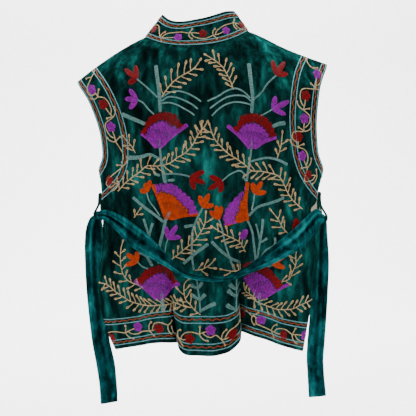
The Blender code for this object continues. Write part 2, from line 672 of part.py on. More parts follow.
def build_tail(name, side, table, material):
    """A free end of the sash, hanging beside a vent."""
    at = np.linspace(0, 1, TAIL_STEPS + 1) ** TAIL_CROWDING
    height, out, back, turn, tilt, width, thick = (
        smooth_column(table, "along", key, at) for key in Tail._fields[1:]
    )
    middle = np.stack([side * out, back, height], axis=-1)
    turn, tilt = np.radians(turn), np.radians(tilt)
    level = np.stack([side * np.cos(turn), np.sin(turn), 0 * turn], axis=-1)
    across = level * np.cos(tilt)[:, None] + np.array([0, 0, 1]) * np.sin(tilt)[:, None]
    return strip(name, middle, across, width, thick, material)


def build_loop(name, side, material):
    """A closed band of cloth hanging from the side seam, with the sash through it."""
    height = LOOP_TOP[side] - column(LOOP, "down") * LOOP_LENGTH[side]
    turn = math.radians(LOOP_TURN)
    outward = np.array([side * math.cos(turn), math.sin(turn), 0])
    breadth = np.array([-side * math.sin(turn), math.cos(turn), 0])
    at_side = cloth_x(TAUT_BACK, edge_across(TAUT_BACK, side, height, 0), height)
    clear = WALL / 2 + SEAM + LOOP_THICK / 2 + LOOP_WIDTH / 2 * abs(math.sin(turn))
    path = np.stack([at_side + side * clear, 0 * at_side + LOOP_PLACE, height], axis=-1)
    path = path + outward * (column(LOOP, "out") * LOOP_REACH[side])[:, None]
    along = unit(np.roll(path, -1, axis=0) - np.roll(path, 1, axis=0))
    out = np.cross(along, breadth)
    corners = np.stack(
        [
            path + out * LOOP_THICK / 2 * outer + breadth * LOOP_WIDTH / 2 * hind
            for outer, hind in ((1, 1), (1, -1), (-1, -1), (-1, 1))
        ],
        axis=1,
    )
    number = np.arange(len(path) * 4).reshape(len(path), 4)
    onward, around = np.roll(number, -1, axis=0), np.roll(number, -1, axis=1)
    faces = np.stack([number, onward, np.roll(onward, -1, axis=1), around], axis=-1).reshape(-1, 4)
    return solid(name, corners.reshape(-1, 3), faces.tolist(), material)


# ---------------------------------------------------------------- the whole garment
def cloth_material(name, colour):
    material = bpy.data.materials.new(name)
    material.use_nodes = True
    shader = material.node_tree.nodes["Principled BSDF"]
    shader.inputs["Base Color"].default_value = (*colour, 1)
    shader.inputs["Roughness"].default_value = VELVET_ROUGHNESS
    shader.inputs["Metallic"].default_value = 0
    return material


def build_panels(panels, material):
    """The back in one piece and the two fronts."""
    right_points, right_normals = panels["back", RIGHT]
    left_points, left_normals = panels["back", LEFT]
    points = np.concatenate([right_points[:0:-1], left_points])
    normals = np.concatenate([right_normals[:0:-1], left_normals])
    wall("back", points, normals, WALL, material)
    wall("front_left", *panels["front", LEFT], WALL, material)
    wall("front_right", *panels["front", RIGHT], WALL, material)


def main():
    for old in list(bpy.data.objects):
        bpy.data.objects.remove(old)
    velvet, sash_velvet = cloth_material(*VELVET), cloth_material(*SASH_VELVET)
    panels = {(half, side): half_panel(half, side) for half in OUTWARD for side in (LEFT, RIGHT)}
    build_panels(panels, velvet)
    build_collar(panels, velvet)
    build_sash_back(sash_velvet)
    build_tail("sash_left_tail", LEFT, LEFT_TAIL, sash_velvet)
    build_tail("sash_right_tail", RIGHT, RIGHT_TAIL, sash_velvet)
    for side in (LEFT, RIGHT):
        build_loop("loop_" + SIDE_NAME[side], side, velvet)


main()
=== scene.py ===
"""Looks for the embroidered velvet waistcoat: fine cloth shells, chain-stitch embroidery, sash."""

import math
from collections import namedtuple

import bmesh
import bpy
import numpy as np
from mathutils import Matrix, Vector


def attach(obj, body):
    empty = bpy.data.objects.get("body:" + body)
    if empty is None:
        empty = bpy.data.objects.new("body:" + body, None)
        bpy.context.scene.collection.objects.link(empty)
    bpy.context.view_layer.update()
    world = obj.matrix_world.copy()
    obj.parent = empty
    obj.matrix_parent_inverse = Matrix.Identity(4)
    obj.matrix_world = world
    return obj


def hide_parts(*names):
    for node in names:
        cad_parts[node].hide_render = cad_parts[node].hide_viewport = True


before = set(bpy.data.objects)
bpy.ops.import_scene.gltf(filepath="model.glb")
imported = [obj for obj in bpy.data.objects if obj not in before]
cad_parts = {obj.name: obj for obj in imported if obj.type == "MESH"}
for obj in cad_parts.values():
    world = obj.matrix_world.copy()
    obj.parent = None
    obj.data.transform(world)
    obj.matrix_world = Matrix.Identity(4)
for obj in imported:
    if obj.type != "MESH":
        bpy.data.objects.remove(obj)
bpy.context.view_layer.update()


def rows(kind, *table):
    """A table's rows, with named columns."""
    return tuple(kind(*row) for row in table)


def halves(kind, **tables):
    """A table's rows for each half of the garment, named by the half."""
    return tuple(kind(half, *row) for half, table in tables.items() for row in table)


# ---------------------------------------------------------------- the garment's sizes, in metres
WALL = 0.0026
COLLAR_WALL = 0.003
SEAM = 0.00006
SQUARENESS = 2.3
HEM_LEVEL = -0.636
UNDERARM_LEVEL = -0.282
VENT_TOP = -0.335
CAP = 0.11
FRONT_GAP_TOP = 0.005
FRONT_GAP_HEM = 0.012
NECK_DROP = {"back": 0.026, "front": 0.08}
NECK_ROUNDNESS = 2.4
COLLAR_SLOPE = 0.5
OUTWARD = {"back": 1, "front": -1}
LEFT, RIGHT = 1, -1
SIDE_NAME = {LEFT: "left", RIGHT: "right"}

# The rings round the body. centre is the ring's shift along X.
Section = namedtuple("Section", "height centre half_width back front")
SECTIONS = rows(
    Section, (-0.68, -0.005, 0.202, 0.128, 0.116), (-0.6, -0.001, 0.22, 0.124, 0.116),
    (-0.52, 0.002, 0.23, 0.117, 0.114), (-0.44, -0.005, 0.23, 0.111, 0.112),
    (-0.395, -0.008, 0.227, 0.11, 0.112), (-0.34, -0.006, 0.2225, 0.11, 0.115),
    (-0.28, -0.009, 0.231, 0.117, 0.122), (-0.21, -0.004, 0.243, 0.12, 0.12),
    (-0.14, 0.004, 0.254, 0.114, 0.104), (-0.08, 0.012, 0.263, 0.102, 0.086),
    (0.06, 0.014, 0.27, 0.08, 0.06),
)

# The folds. across is measured round the uncreased ring from the middle, left and right are the
# fold's spread to each side, depth is inward at the hem, pinch draws the fold's mouth together, top
# is the level where the fold starts, and lean shifts it across for each metre above the hem.
Fold = namedtuple("Fold", "half across left right depth pinch top lean")
FOLDS = halves(
    Fold,
    back=(
        (-0.073, 0.0095, 0.016, 0.04, 0.004, -0.3, 0.03),
        (0.063, 0.013, 0.009, 0.021, 0.005, -0.36, 0.05), (-0.006, 0.05, 0.05, -0.014, 0, -0.4, 0),
        (0.15, 0.03, 0.03, 0.009, 0, -0.2, -0.05), (-0.165, 0.028, 0.028, 0.008, 0, -0.22, 0.04),
    ),
    front=(
        (0.085, 0.015, 0.015, 0.026, 0.006, -0.28, -0.03),
        (-0.078, 0.014, 0.014, 0.03, 0.006, -0.3, 0.03),
        (0.16, 0.025, 0.025, 0.012, 0, -0.24, -0.06), (-0.155, 0.026, 0.026, 0.01, 0, -0.26, 0.06),
    ),
)

# How high the hem hangs at stations across the cloth, because a fold draws the hem up.
Hem = namedtuple("Hem", "half across height")
HEMS = halves(
    Hem,
    back=(
        (-0.33, -0.664), (-0.28, -0.656), (-0.245, -0.644), (-0.205, -0.628), (-0.165, -0.609),
        (-0.14, -0.6015), (-0.11, -0.602), (-0.085, -0.604), (-0.065, -0.613), (-0.045, -0.628),
        (-0.02, -0.6345), (0.02, -0.6355), (0.05, -0.634), (0.063, -0.625), (0.08, -0.62),
        (0.105, -0.615), (0.135, -0.618), (0.165, -0.6275), (0.2, -0.637), (0.25, -0.651),
        (0.3, -0.662),
    ),
    front=(
        (-0.3, -0.646), (-0.19, -0.632), (-0.11, -0.618), (-0.016, -0.64), (0.016, -0.641),
        (0.115, -0.62), (0.2, -0.633), (0.3, -0.647),
    ),
)
LIFT_TOP = -0.36  # above this level the folds no longer draw the cloth up
LIFT_FADE = 1.4

# The line over the shoulders. Its middle point only carries the curve across the neck.
Shoulder = namedtuple("Shoulder", "across height")
SHOULDERS = rows(
    Shoulder, (-0.27, -0.0735), (-0.246, -0.0656), (-0.166, -0.0365), (-0.085, 0), (0.02, 0.016),
    (0.125, -0.012), (0.219, -0.0665), (0.266, -0.102), (0.285, -0.118),
)
NECK_POINTS = {RIGHT: SHOULDERS[3], LEFT: SHOULDERS[5]}

# The armhole's edge on each half, from the underarm to the shoulder tip. along is the share of the
# edge, rise the share of the height, and the angles are measured round the ring from the side.
Armhole = namedtuple("Armhole", "along rise back front")
ARMHOLE = rows(
    Armhole, (0, 0, 0, 0), (0.1, 0.045, 11, 12), (0.22, 0.135, 22.5, 24.5), (0.42, 0.33, 29.5, 34),
    (0.66, 0.62, 30, 36), (0.86, 0.85, 24, 27), (1, 1, 13, 13),
)

# How far each panel's edge stands away from the side below the vent's top, in degrees
Vent = namedtuple("Vent", "height back_left back_right front_left front_right")
VENT = rows(
    Vent, (-0.68, 31, 24, 10, 10), (-0.634, 28, 24, 9.5, 9.5), (-0.59, 21, 23, 9, 9),
    (-0.54, 16.5, 17.5, 8.5, 8.5), (-0.48, 16.5, 11.5, 8, 8), (-0.448, 21, 8, 7.5, 7.5),
    (-0.415, 24, 8, 6.2, 7), (-0.386, 19, 11, 4, 5.5), (-0.37, 14.5, 22, 2.8, 4.5),
    (-0.352, 7, 23, 1.6, 2), (-0.343, 3, 8, 0.8, 0.8), (VENT_TOP, 0, 0, 0, 0),
)

# How far the right front's edge flares out at its vent.
Flare = namedtuple("Flare", "height out")
FLARE = rows(
    Flare, (-0.64, 0), (-0.5, 0.004), (-0.42, 0.009), (-0.372, 0.013), (-0.35, 0.006),
    (VENT_TOP, 0),
)
FLARE_ANGLE = 0.3

# The collar's top edge over its seam, at stations round the neck. 0 is the middle of the back, 1
# and -1 the neck points, 2 and -2 the front ends. lean is how far the top stands in from the seam.
Collar = namedtuple("Collar", "station rise lean")
COLLAR = rows(
    Collar, (-2, 0.048, 0.01), (-1.5, 0.046, 0.02), (-1, 0.041, 0.03), (-0.6, 0.052, 0.028),
    (0, 0.053, 0.024), (0.5, 0.046, 0.026), (1, 0.046, 0.036), (1.5, 0.046, 0.022),
    (2, 0.048, 0.01),
)

# The sash's slack stretch, by its place across the uncreased back. roll turns it from flat on the
# cloth to standing out, and clear is the space between it and the cloth.
Sag = namedtuple("Sag", "across height roll width thick clear")
SAG = rows(
    Sag, (-0.272, -0.38, 0, 0.011, 0.0065, 0.00605), (-0.264, -0.38, 0, 0.012, 0.0065, 0.006),
    (-0.252, -0.379, 0, 0.019, 0.006, 0.0053), (-0.235, -0.374, 0, 0.034, 0.0045, 0.0024),
    (-0.204, -0.39, 2, 0.041, 0.0036, 0.0008), (-0.174, -0.411, 18, 0.04, 0.0036, 0.0018),
    (-0.147, -0.427, 44, 0.039, 0.0036, 0.0035), (-0.112, -0.452, 62, 0.038, 0.0036, 0.0045),
    (-0.077, -0.4735, 78, 0.038, 0.0036, 0.005), (-0.019, -0.4835, 86, 0.038, 0.0036, 0.006),
    (0.007, -0.482, 86, 0.038, 0.0036, 0.006), (0.033, -0.477, 84, 0.038, 0.0036, 0.006),
    (0.055, -0.468, 80, 0.038, 0.0036, 0.0055), (0.077, -0.454, 72, 0.038, 0.0036, 0.005),
    (0.114, -0.427, 48, 0.038, 0.0036, 0.004), (0.15, -0.405, 12, 0.038, 0.0036, 0.0015),
    (0.182, -0.384, 0, 0.035, 0.0038, 0.0008), (0.218, -0.369, 0, 0.024, 0.005, 0.0012),
    (0.25, -0.3715, 0, 0.016, 0.0058, 0.0049), (0.264, -0.373, 0, 0.011, 0.006, 0.006),
    (0.272, -0.373, 0, 0.011, 0.006, 0.0061),
)

# The sash's free ends. out and back place the middle line, turn is the width's angle from X, and
# tilt its angle up from level.
Tail = namedtuple("Tail", "along height out back turn tilt width thick")
LEFT_TAIL = rows(
    Tail, (0, -0.373, 0.2276, 0.0042, 0, 90, 0.011, 0.006),
    (0.012, -0.373, 0.2277, -0.0012, 0, 90, 0.011, 0.006),
    (0.03, -0.3745, 0.229, -0.007, 0, 70, 0.013, 0.0055),
    (0.05, -0.382, 0.2302, -0.0102, 0, 30, 0.0212, 0.0055),
    (0.072, -0.3905, 0.234, -0.01, 0, 8, 0.029, 0.005),
    (0.105, -0.406, 0.237, -0.0085, 0, 0, 0.035, 0.0042),
    (0.16, -0.435, 0.239, -0.006, 0, 0, 0.0375, 0.0036),
    (0.23, -0.464, 0.2398, -0.0045, 5, 0, 0.036, 0.0036),
    (0.4, -0.535, 0.2378, -0.0015, 5, 0, 0.0355, 0.0036),
    (0.57, -0.605, 0.231, 0.002, 0, 0, 0.0375, 0.0036),
    (0.68, -0.65, 0.2255, 0.005, 0, 0, 0.038, 0.0036),
    (0.8, -0.7, 0.2165, 0.006, 0, 0, 0.04, 0.0036),
    (0.92, -0.75, 0.212, 0.004, 0, 0, 0.038, 0.0036),
    (1, -0.786, 0.211, 0.002, 20, 0, 0.037, 0.0036),
)
RIGHT_TAIL = rows(
    Tail, (0, -0.38, 0.2438, 0.0051, 0, 90, 0.011, 0.0065),
    (0.012, -0.38, 0.2438, -0.0012, 0, 90, 0.011, 0.0065),
    (0.03, -0.3812, 0.2446, -0.007, 0, 70, 0.013, 0.0068),
    (0.05, -0.387, 0.245, -0.01, 0, 35, 0.016, 0.0065),
    (0.072, -0.395, 0.244, -0.01, 15, 12, 0.021, 0.006),
    (0.105, -0.408, 0.2428, -0.009, 30, 3, 0.026, 0.005),
    (0.16, -0.435, 0.242, -0.007, 30, 0, 0.032, 0.004),
    (0.24, -0.468, 0.242, -0.005, 20, 0, 0.035, 0.0036),
    (0.4, -0.535, 0.2404, -0.002, 5, 0, 0.0355, 0.0036),
    (0.57, -0.602, 0.2371, 0.002, 0, 0, 0.0365, 0.0036),
    (0.7, -0.658, 0.2333, 0.005, 0, 0, 0.0375, 0.0036),
    (0.77, -0.685, 0.2322, 0.0055, 0, 0, 0.0365, 0.0036),
    (0.85, -0.715, 0.2341, 0.005, 0, 0, 0.036, 0.0036),
    (1, -0.772, 0.2395, 0.002, 0, 0, 0.038, 0.0036),
)

# The band that carries the sash at each vent, as a closed path from its seam down and back. down is
# the share of its length.
Loop = namedtuple("Loop", "out down")
LOOP = rows(
    Loop, (0.001, 0), (0.0025, 0.05), (0.0036, 0.24), (0.005, 0.44), (0.0098, 0.62), (0.0146, 0.8),
    (0.0128, 0.95), (0.0068, 1), (0.0012, 0.95), (-0.0014, 0.82), (-0.0018, 0.64), (-0.0012, 0.44),
    (0.0002, 0.24), (-0.0008, 0.07),
)
LOOP_TOP = {LEFT: -0.329, RIGHT: -0.3266}
LOOP_LENGTH = {LEFT: 0.0532, RIGHT: 0.0628}
LOOP_REACH = {LEFT: 0.95, RIGHT: 1}  # how full it hangs
LOOP_WIDTH = 0.01
LOOP_THICK = 0.0026
LOOP_TURN = -18  # how far its flat side turns from the front (below 0) to the back
LOOP_PLACE = 0.006  # where it starts, along Y

# Grid counts, four times as fine as the solids
ROWS_BELOW_ARM, ROWS_BY_ARM, ROWS_IN_CAP = 60, 44, 24
NECK_COLUMNS = {("back", LEFT): 52, ("back", RIGHT): 40, ("front", LEFT): 36, ("front", RIGHT): 28}
SIDE_COLUMNS = {("back", LEFT): 60, ("back", RIGHT): 68, ("front", LEFT): 56, ("front", RIGHT): 56}
EDGE_BIAS = 3
FINE_STEPS, SETTLING_STEPS = 400, 24
MITRE_LIMIT = 0.6
COLLAR_ROWS = 16
COLLAR_RIPPLE = 0.0004  # how far the collar waves in and out
SASH_STEPS, TAIL_STEPS, TAIL_CROWDING = 200, 150, 1.5
RIBBON_POINTS, EDGE_ROUNDING = 40, 0.6
LOOP_STEPS, LOOP_POINTS = 84, 16
LOOP_FLATNESS, LOOP_FULLNESS = 0.5, 0.7  # how square a loop's section is: the lower, the squarer
SHARP_ANGLE, RIBBON_SHARP_ANGLE = 40, 60
FULL_WIDTH = 0.03  # from this width the sash shows its wrinkles in full
FACING = {LEFT: 8, RIGHT: 0}  # columns of the fronts' inside, from the vent, faced with velvet
NAP_AND_SHADE_GRIDS = {}  # how the nap lies on each panel's grid, with the painted light and shade

# Wrinkles that run along the sash: the place over its width from -1 to 1, how far that drifts and
# waves on the way, the middle and reach of the stretch it covers, its spread and its height in mm.
Wrinkle = namedtuple("Wrinkle", "place drift wave turns middle reach spread out")
BACK_WRINKLES = rows(
    Wrinkle, (0.35, -0.5, 0.1, 1.5, 0.35, 0.3, 0.16, 1.3),
    (-0.3, 0.45, 0.08, 2, 0.6, 0.32, 0.14, -1.3), (-0.7, 0.2, 0.06, 2.5, 0.45, 0.4, 0.12, 1),
    (0.05, 0.15, 0.12, 3, 0.15, 0.12, 0.18, -1.4), (0.45, -0.1, 0.08, 2, 0.17, 0.12, 0.13, 1.2),
    (-0.45, 0.1, 0.08, 2.4, 0.14, 0.1, 0.12, 1.1), (0.1, -0.2, 0.1, 3, 0.87, 0.12, 0.18, -1.4),
    (0.6, -0.3, 0.08, 2, 0.83, 0.12, 0.13, 1.2), (-0.5, 0.1, 0.08, 2.6, 0.86, 0.12, 0.12, 1.2),
    (0.7, 0.1, 0.05, 2, 0.7, 0.25, 0.12, 1),
)
LEFT_WRINKLES = rows(
    Wrinkle, (-0.15, 0.25, 0.08, 1.5, 0.35, 0.4, 0.15, -1.3),
    (0.35, -0.1, 0.06, 2, 0.3, 0.3, 0.16, 1.2), (-0.6, 0.3, 0.08, 1.2, 0.6, 0.3, 0.14, 0.9),
    (0.2, -0.35, 0.05, 2, 0.85, 0.2, 0.2, -1), (0.62, 0.1, 0.07, 1.6, 0.72, 0.22, 0.1, 1),
    (-0.3, -0.2, 0.06, 2.2, 0.15, 0.14, 0.12, -1.2),
)
RIGHT_WRINKLES = rows(
    Wrinkle, (0.2, -0.3, 0.08, 1.5, 0.3, 0.35, 0.16, -1.2),
    (-0.4, 0.2, 0.06, 2, 0.45, 0.3, 0.15, 1.1), (0.6, -0.2, 0.06, 1, 0.7, 0.3, 0.14, 0.9),
    (-0.1, 0.3, 0.05, 2, 0.88, 0.18, 0.2, -1.1), (0.4, 0.1, 0.08, 1.8, 0.6, 0.22, 0.1, -1),
    (-0.65, 0.15, 0.07, 2.2, 0.2, 0.16, 0.12, 1),
)

LOOP_PILE = 0.12  # how much lighter the loops' nap is
WRINKLE_SHADING, EDGE_HIGHLIGHT = 0.1, 0.1  # the sash's painted shade and highlight: how much lighter per millimetre a wrinkle stands out, and the painted highlight at its edges

# Creases of the cloth: from one place (across, level) on the cloth to another, in millimetres, with
# the crease's half width and how far it stands out (a trough is negative).
Streak = namedtuple("Streak", "half across level to_across to_level spread out")
CREASE_FADE = 0.3  # the share of a crease over which each end fades
WANDER = 3  # how far a crease strays from its line, in mm
CREASES = halves(
    Streak,
    back=(
        (96, -22, 118, -92, 6, -2.2), (84, -30, 88, -88, 7, -1.8), (106, -20, 134, -74, 5, 1.6),
        (72, -38, 66, -120, 9, 1.4), (150, -60, 146, -118, 8, -1.5),
        (-96, -34, -112, -84, 6, -1.6), (-84, -44, -86, -110, 8, 1.4),
        (-124, -60, -150, -130, 9, 1.2), (2, -150, -6, -470, 13, 2.2),
        (-22, -180, -24, -420, 8, -1.8), (46, -250, 40, -470, 12, -1.6),
        (118, -120, 128, -300, 13, -2), (140, -150, 150, -360, 11, 1.8),
        (74, -120, 70, -330, 12, 1.5), (-60, -250, -52, -430, 11, 1.6),
        (-108, -160, -116, -330, 12, -1.6), (-136, -230, -142, -440, 11, 1.8),
        (-160, -270, -186, -400, 9, -1.7), (-196, -310, -150, -372, 8, 1.4),
        (204, -306, 162, -352, 8, 1.5), (222, -324, 176, -380, 7, -1.4),
        (176, -392, 168, -560, 12, 1.5), (206, -440, 206, -690, 10, -1.3),
        (134, -450, 132, -700, 11, 1.4), (18, -500, 22, -720, 12, 1.4),
        (-30, -480, -32, -720, 12, -1.2), (-176, -420, -182, -700, 13, 1.4),
        (-230, -440, -236, -700, 11, -1.3), (-212, -350, -246, -430, 7, 1.4),
    ),
    front=(
        (110, -30, 128, -120, 7, -1.8), (-104, -26, -118, -110, 7, -1.8),
        (60, -150, 66, -420, 13, 1.6), (-58, -160, -62, -400, 12, 1.6),
        (120, -200, 128, -430, 12, -1.7), (-116, -210, -124, -440, 12, -1.6),
        (190, -300, 150, -380, 9, 1.5), (-188, -296, -146, -372, 9, 1.5),
        (36, -430, 40, -720, 12, -1.3), (-34, -440, -38, -720, 12, -1.3),
        (176, -430, 180, -710, 12, 1.5), (-172, -430, -178, -710, 12, 1.5),
        (225, -400, 232, -600, 10, -1.3), (-228, -400, -234, -600, 10, -1.3),
    ),
)

# Painted light and shade on the velvet, partly the nap's lie: streaks placed like the creases, with
# how much lighter each is.
SHADES = halves(
    Streak,
    back=(
        (172, -40, 208, -64, 4, 0.1), (134, -24, 158, -50, 4, -0.12), (148, -46, 154, -70, 3, 0.1),
        (120, -38, 128, -62, 4, 0.1), (112, -34, 104, -66, 4, -0.14),
        (102, -62, 114, -144, 5, -0.15), (94, -44, 100, -78, 3, 0.13),
        (82, -36, 90, -58, 4, -0.11), (114, -86, 124, -144, 4, 0.08),
        (144, -112, 132, -162, 7, -0.1), (164, -82, 144, -108, 5, 0.1),
        (174, -78, 174, -136, 4, -0.08), (148, -156, 156, -206, 5, 0.1),
        (124, -144, 132, -194, 7, -0.12), (46, -44, 48, -98, 11, 0.05),
        (-4, -78, 6, -132, 4, 0.11), (-14, -106, -2, -204, 4, -0.13),
        (-26, -68, -16, -124, 4, 0.1), (12, -110, 30, -154, 5, -0.08),
        (62, -192, 80, -232, 5, 0.08), (8, -212, 10, -302, 5, 0.12),
        (122, -216, 120, -276, 9, -0.1), (50, -112, 48, -158, 7, -0.05),
        (-130, -18, -130, -48, 3, 0.12), (-132, -42, -150, -54, 2, 0.09),
        (-80, -24, -88, -60, 7, -0.07), (-78, -60, -60, -158, 9, -0.11),
        (-116, -54, -102, -132, 3, -0.14), (-122, -50, -114, -112, 3, 0.1),
        (-120, -116, -114, -158, 4, 0.1), (-142, -86, -128, -140, 5, -0.08),
        (-170, -98, -164, -178, 5, -0.09), (-148, -124, -138, -178, 4, 0.07),
        (-48, -200, -42, -238, 7, -0.08), (-32, -32, -32, -90, 5, 0.07),
        (-116, -18, -112, -46, 4, -0.09), (-164, -38, -164, -82, 5, -0.07),
        (-184, -58, -180, -102, 5, 0.06), (28, -258, 30, -306, 7, -0.09),
        (168, -258, 170, -334, 4, 0.08), (156, -288, 160, -366, 5, -0.1),
        (104, -338, 110, -418, 7, -0.1), (112, -318, 104, -352, 4, 0.11),
        (66, -358, 62, -436, 7, -0.08), (40, -374, 44, -414, 5, 0.06),
        (208, -380, 206, -482, 11, -0.15), (240, -522, 250, -578, 4, -0.12),
        (228, -534, 232, -572, 5, 0.1), (-144, -248, -152, -316, 5, 0.11),
        (-154, -318, -170, -382, 6, 0.15), (-130, -288, -146, -364, 7, -0.12),
        (-76, -358, -92, -468, 8, -0.13), (-210, -332, -190, -364, 4, 0.08),
        (-184, -310, -182, -354, 5, -0.1), (-14, -310, -16, -350, 4, 0.1),
        (-22, -434, -20, -464, 5, 0.07), (-56, -278, -56, -334, 5, -0.07),
        (-210, -482, -224, -542, 5, 0.07), (-228, -474, -258, -540, 5, -0.08),
        (-22, -488, -26, -556, 5, 0.13), (0, -496, -4, -550, 4, -0.08),
        (80, -568, 88, -640, 4, -0.1), (38, -512, 50, -552, 5, -0.07),
        (-52, -502, -48, -544, 5, -0.1), (172, -522, 182, -558, 5, 0.06),
        (-164, -538, -182, -584, 7, -0.06), (130, -414, 122, -460, 5, -0.08),
        (-32, -358, -36, -410, 7, -0.06),
    ),
    front=(
        (150, -60, 140, -150, 7, -0.12), (120, -40, 116, -120, 6, 0.1),
        (90, -60, 86, -140, 8, -0.09), (60, -120, 66, -260, 9, 0.09),
        (30, -150, 34, -330, 8, -0.1), (110, -180, 118, -330, 9, -0.11),
        (138, -200, 150, -340, 7, 0.1), (80, -300, 76, -430, 9, 0.09),
        (50, -380, 46, -520, 8, -0.1), (120, -380, 126, -500, 10, -0.09),
        (160, -330, 182, -400, 6, 0.11), (200, -380, 212, -480, 9, -0.11),
        (175, -430, 178, -560, 8, 0.1), (150, -500, 146, -620, 9, -0.09),
        (90, -480, 92, -600, 8, 0.08), (226, -440, 232, -600, 8, 0.09),
        (-155, -60, -150, -162, 6, -0.1), (-118, -49, -112, -121, 6, 0.09),
        (-92, -78, -90, -130, 9, -0.09), (-55, -120, -56, -239, 8, 0.1),
        (-29, -159, -32, -342, 8, -0.08), (-113, -198, -124, -331, 10, -0.1),
        (-134, -200, -142, -330, 6, 0.1), (-80, -309, -76, -409, 9, 0.1),
        (-54, -398, -54, -532, 9, -0.08), (-117, -380, -120, -501, 9, -0.08),
        (-161, -339, -184, -390, 6, 0.11), (-205, -398, -222, -459, 10, -0.12),
        (-173, -430, -174, -572, 7, 0.08), (-152, -509, -150, -621, 9, -0.08),
        (-85, -498, -82, -590, 9, 0.08), (-225, -440, -230, -579, 7, 0.1),
    ),
)
SHADE_STRENGTH = 0.85
CREASE_SHADING = 0.03  # painted shade in a crease's trough and painted highlight on its ridge: how much lighter for each millimetre it stands out

# ---------------------------------------------------------------- embroidery, in millimetres
# Every place is (across, level) on the cloth of the back. A stem is filled with rows of stitches
# from its first width to its last. A fern has a rib with small looped leaves, a pitch apart, with
# a length for each side of the rib and an angle to it. A bud has petals from its foot to their
# tips. A fan has rays from its foot: the angle from upward (to the left is positive), the body's
# reach and the rim's.
Stem = namedtuple("Stem", "start_width end_width line")
Fern = namedtuple("Fern", "pitch one_side other_side angle rib")
Bud = namedtuple("Bud", "thread foot tips")
Ray = namedtuple("Ray", "angle body rim")
Fan = namedtuple("Fan", "thread rim_thread foot rays")
STEMS = rows(
    Stem, (7.5, 6.5, ((85, -69), (84, -102), (87, -159))),
    (3, 3.3, ((125, -96), (110, -109), (98, -121), (89, -131))),
    (2.8, 3.2, ((130, -135), (119, -141), (110, -153), (100, -163))),
    (8.3, 7.1, ((165, -163), (143, -172), (120, -182))),
    (2.8, 3.2, ((81, -131), (62, -121), (47, -119), (29, -124), (15, -132), (6, -139))),
    (2.8, 3.2, ((82, -138), (68, -130), (53, -131), (37, -137), (23, -145), (14, -153))),
    (2.8, 3.2, ((82, -142), (67, -141), (53, -145), (39, -153), (29, -159), (22, -165))),
    (3.3, 7.7, ((95, -209), (96, -240), (94, -270), (89, -296))),
    (9.1, 4.3, ((166, -248), (139, -246), (116, -241), (98, -249))),
    (5.7, 5.1, ((112, -278), (99, -281))), (5.1, 5.7, ((85, -291), (70, -289))),
    (3.3, 3.3, ((92, -279), (74, -277), (57, -279), (41, -283))),
    (2.8, 3.2, ((126, -315), (120, -333), (108, -348), (99, -362))),
    (6.3, 5.9, ((155, -326), (129, -347), (111, -359), (91, -375))),
    (6.3, 5.3, ((77, -351), (87, -369), (94, -395), (100, -427), (101, -463))),
    (5.3, 4.7, ((134, -369), (129, -387), (122, -409))),
    (5.3, 4.3, ((115, -377), (121, -396), (123, -407))),
    (2.4, 2.4, ((84, -408), (87, -422), (89, -439))),
    (3.9, 3.9, ((13, -344), (28, -372), (35, -390), (35, -427), (31, -454), (27, -469))),
    (6.7, 4.7, ((52, -383), (31, -379))), (6.7, 6.3, ((3, -416), (28, -436), (50, -457))),
    (6.3, 6.7, ((145, -440), (130, -446), (113, -469))),
    (2.8, 3, ((147, -460), (137, -470), (123, -475))),
    (3.9, 8.7, ((97, -519), (100, -539), (104, -566))),
    (3.3, 3.7, ((35, -484), (21, -487), (16, -504), (12, -525), (10, -551))),
    (8.3, 3.9, ((31, -497), (16, -505))), (8.3, 3.9, ((8, -491), (15, -505))),
    (8.3, 3.9, ((27, -517), (13, -526))), (8.7, 3.9, ((0, -514), (12, -528))),
    (8.7, 5.1, ((-21, -533), (-7, -538), (9, -547))),
    (8.3, 5.9, ((-95, -66), (-95, -98), (-94, -131), (-88, -161))),
    (3.2, 3.2, ((-147, -89), (-127, -105), (-112, -122), (-94, -136))),
    (2.6, 2.6, ((-131, -153), (-114, -162), (-103, -167))),
    (6.7, 8.3, ((-126, -187), (-138, -182), (-154, -180))),
    (3, 3.2, ((-89, -132), (-78, -120), (-65, -114), (-45, -119), (-27, -129), (-6, -138))),
    (3, 3.2, ((-90, -138), (-82, -130), (-65, -127), (-46, -130), (-25, -141), (-9, -152))),
    (3, 3.2, ((-89, -145), (-75, -141), (-56, -140), (-39, -145), (-23, -155), (-11, -166))),
    (3, 5.1, ((-83, -207), (-81, -228), (-77, -246), (-71, -275), (-69, -292))),
    (3.5, 5.5, ((-76, -254), (-91, -250), (-109, -247), (-129, -250), (-152, -261))),
    (2.8, 3.3, ((-21, -292), (-39, -277), (-58, -272), (-66, -280))),
    (3.5, 3.5, ((-61, -283), (-69, -292))), (2.8, 3.2, ((-87, -316), (-86, -335), (-83, -350))),
    (6.3, 4.7, ((-150, -327), (-120, -337), (-94, -345), (-77, -362))),
    (3.9, 4.3, ((-74, -370), (-83, -389), (-93, -419), (-110, -461))),
    (5.5, 3.5, ((-105, -368), (-104, -400), (-106, -427), (-112, -461))),
    (3.5, 3.5, ((-91, -378), (-97, -396), (-103, -413))), (6.3, 3.5, ((-118, -410), (-107, -419))),
    (5.1, 3.5, ((-134, -409), (-137, -426), (-123, -436), (-115, -455))),
    (3.5, 3.7, ((-17, -368), (-22, -386), (-29, -414), (-39, -440), (-52, -472))),
    (5.9, 5.1, ((-2, -411), (-23, -431), (-45, -448), (-72, -464))),
    (3.2, 3.2, ((-151, -471), (-139, -475))), (4.7, 4.7, ((-143, -533), (-149, -561))),
    (3.5, 3.7, ((-61, -494), (-64, -525), (-61, -564))), (8.3, 3.9, ((-46, -499), (-61, -517))),
    (8.3, 3.9, ((-92, -514), (-66, -519))), (8.3, 3.9, ((-43, -510), (-61, -532))),
    (8.3, 3.9, ((-99, -532), (-66, -535))), (8.7, 4.3, ((-41, -539), (-60, -559))),
)
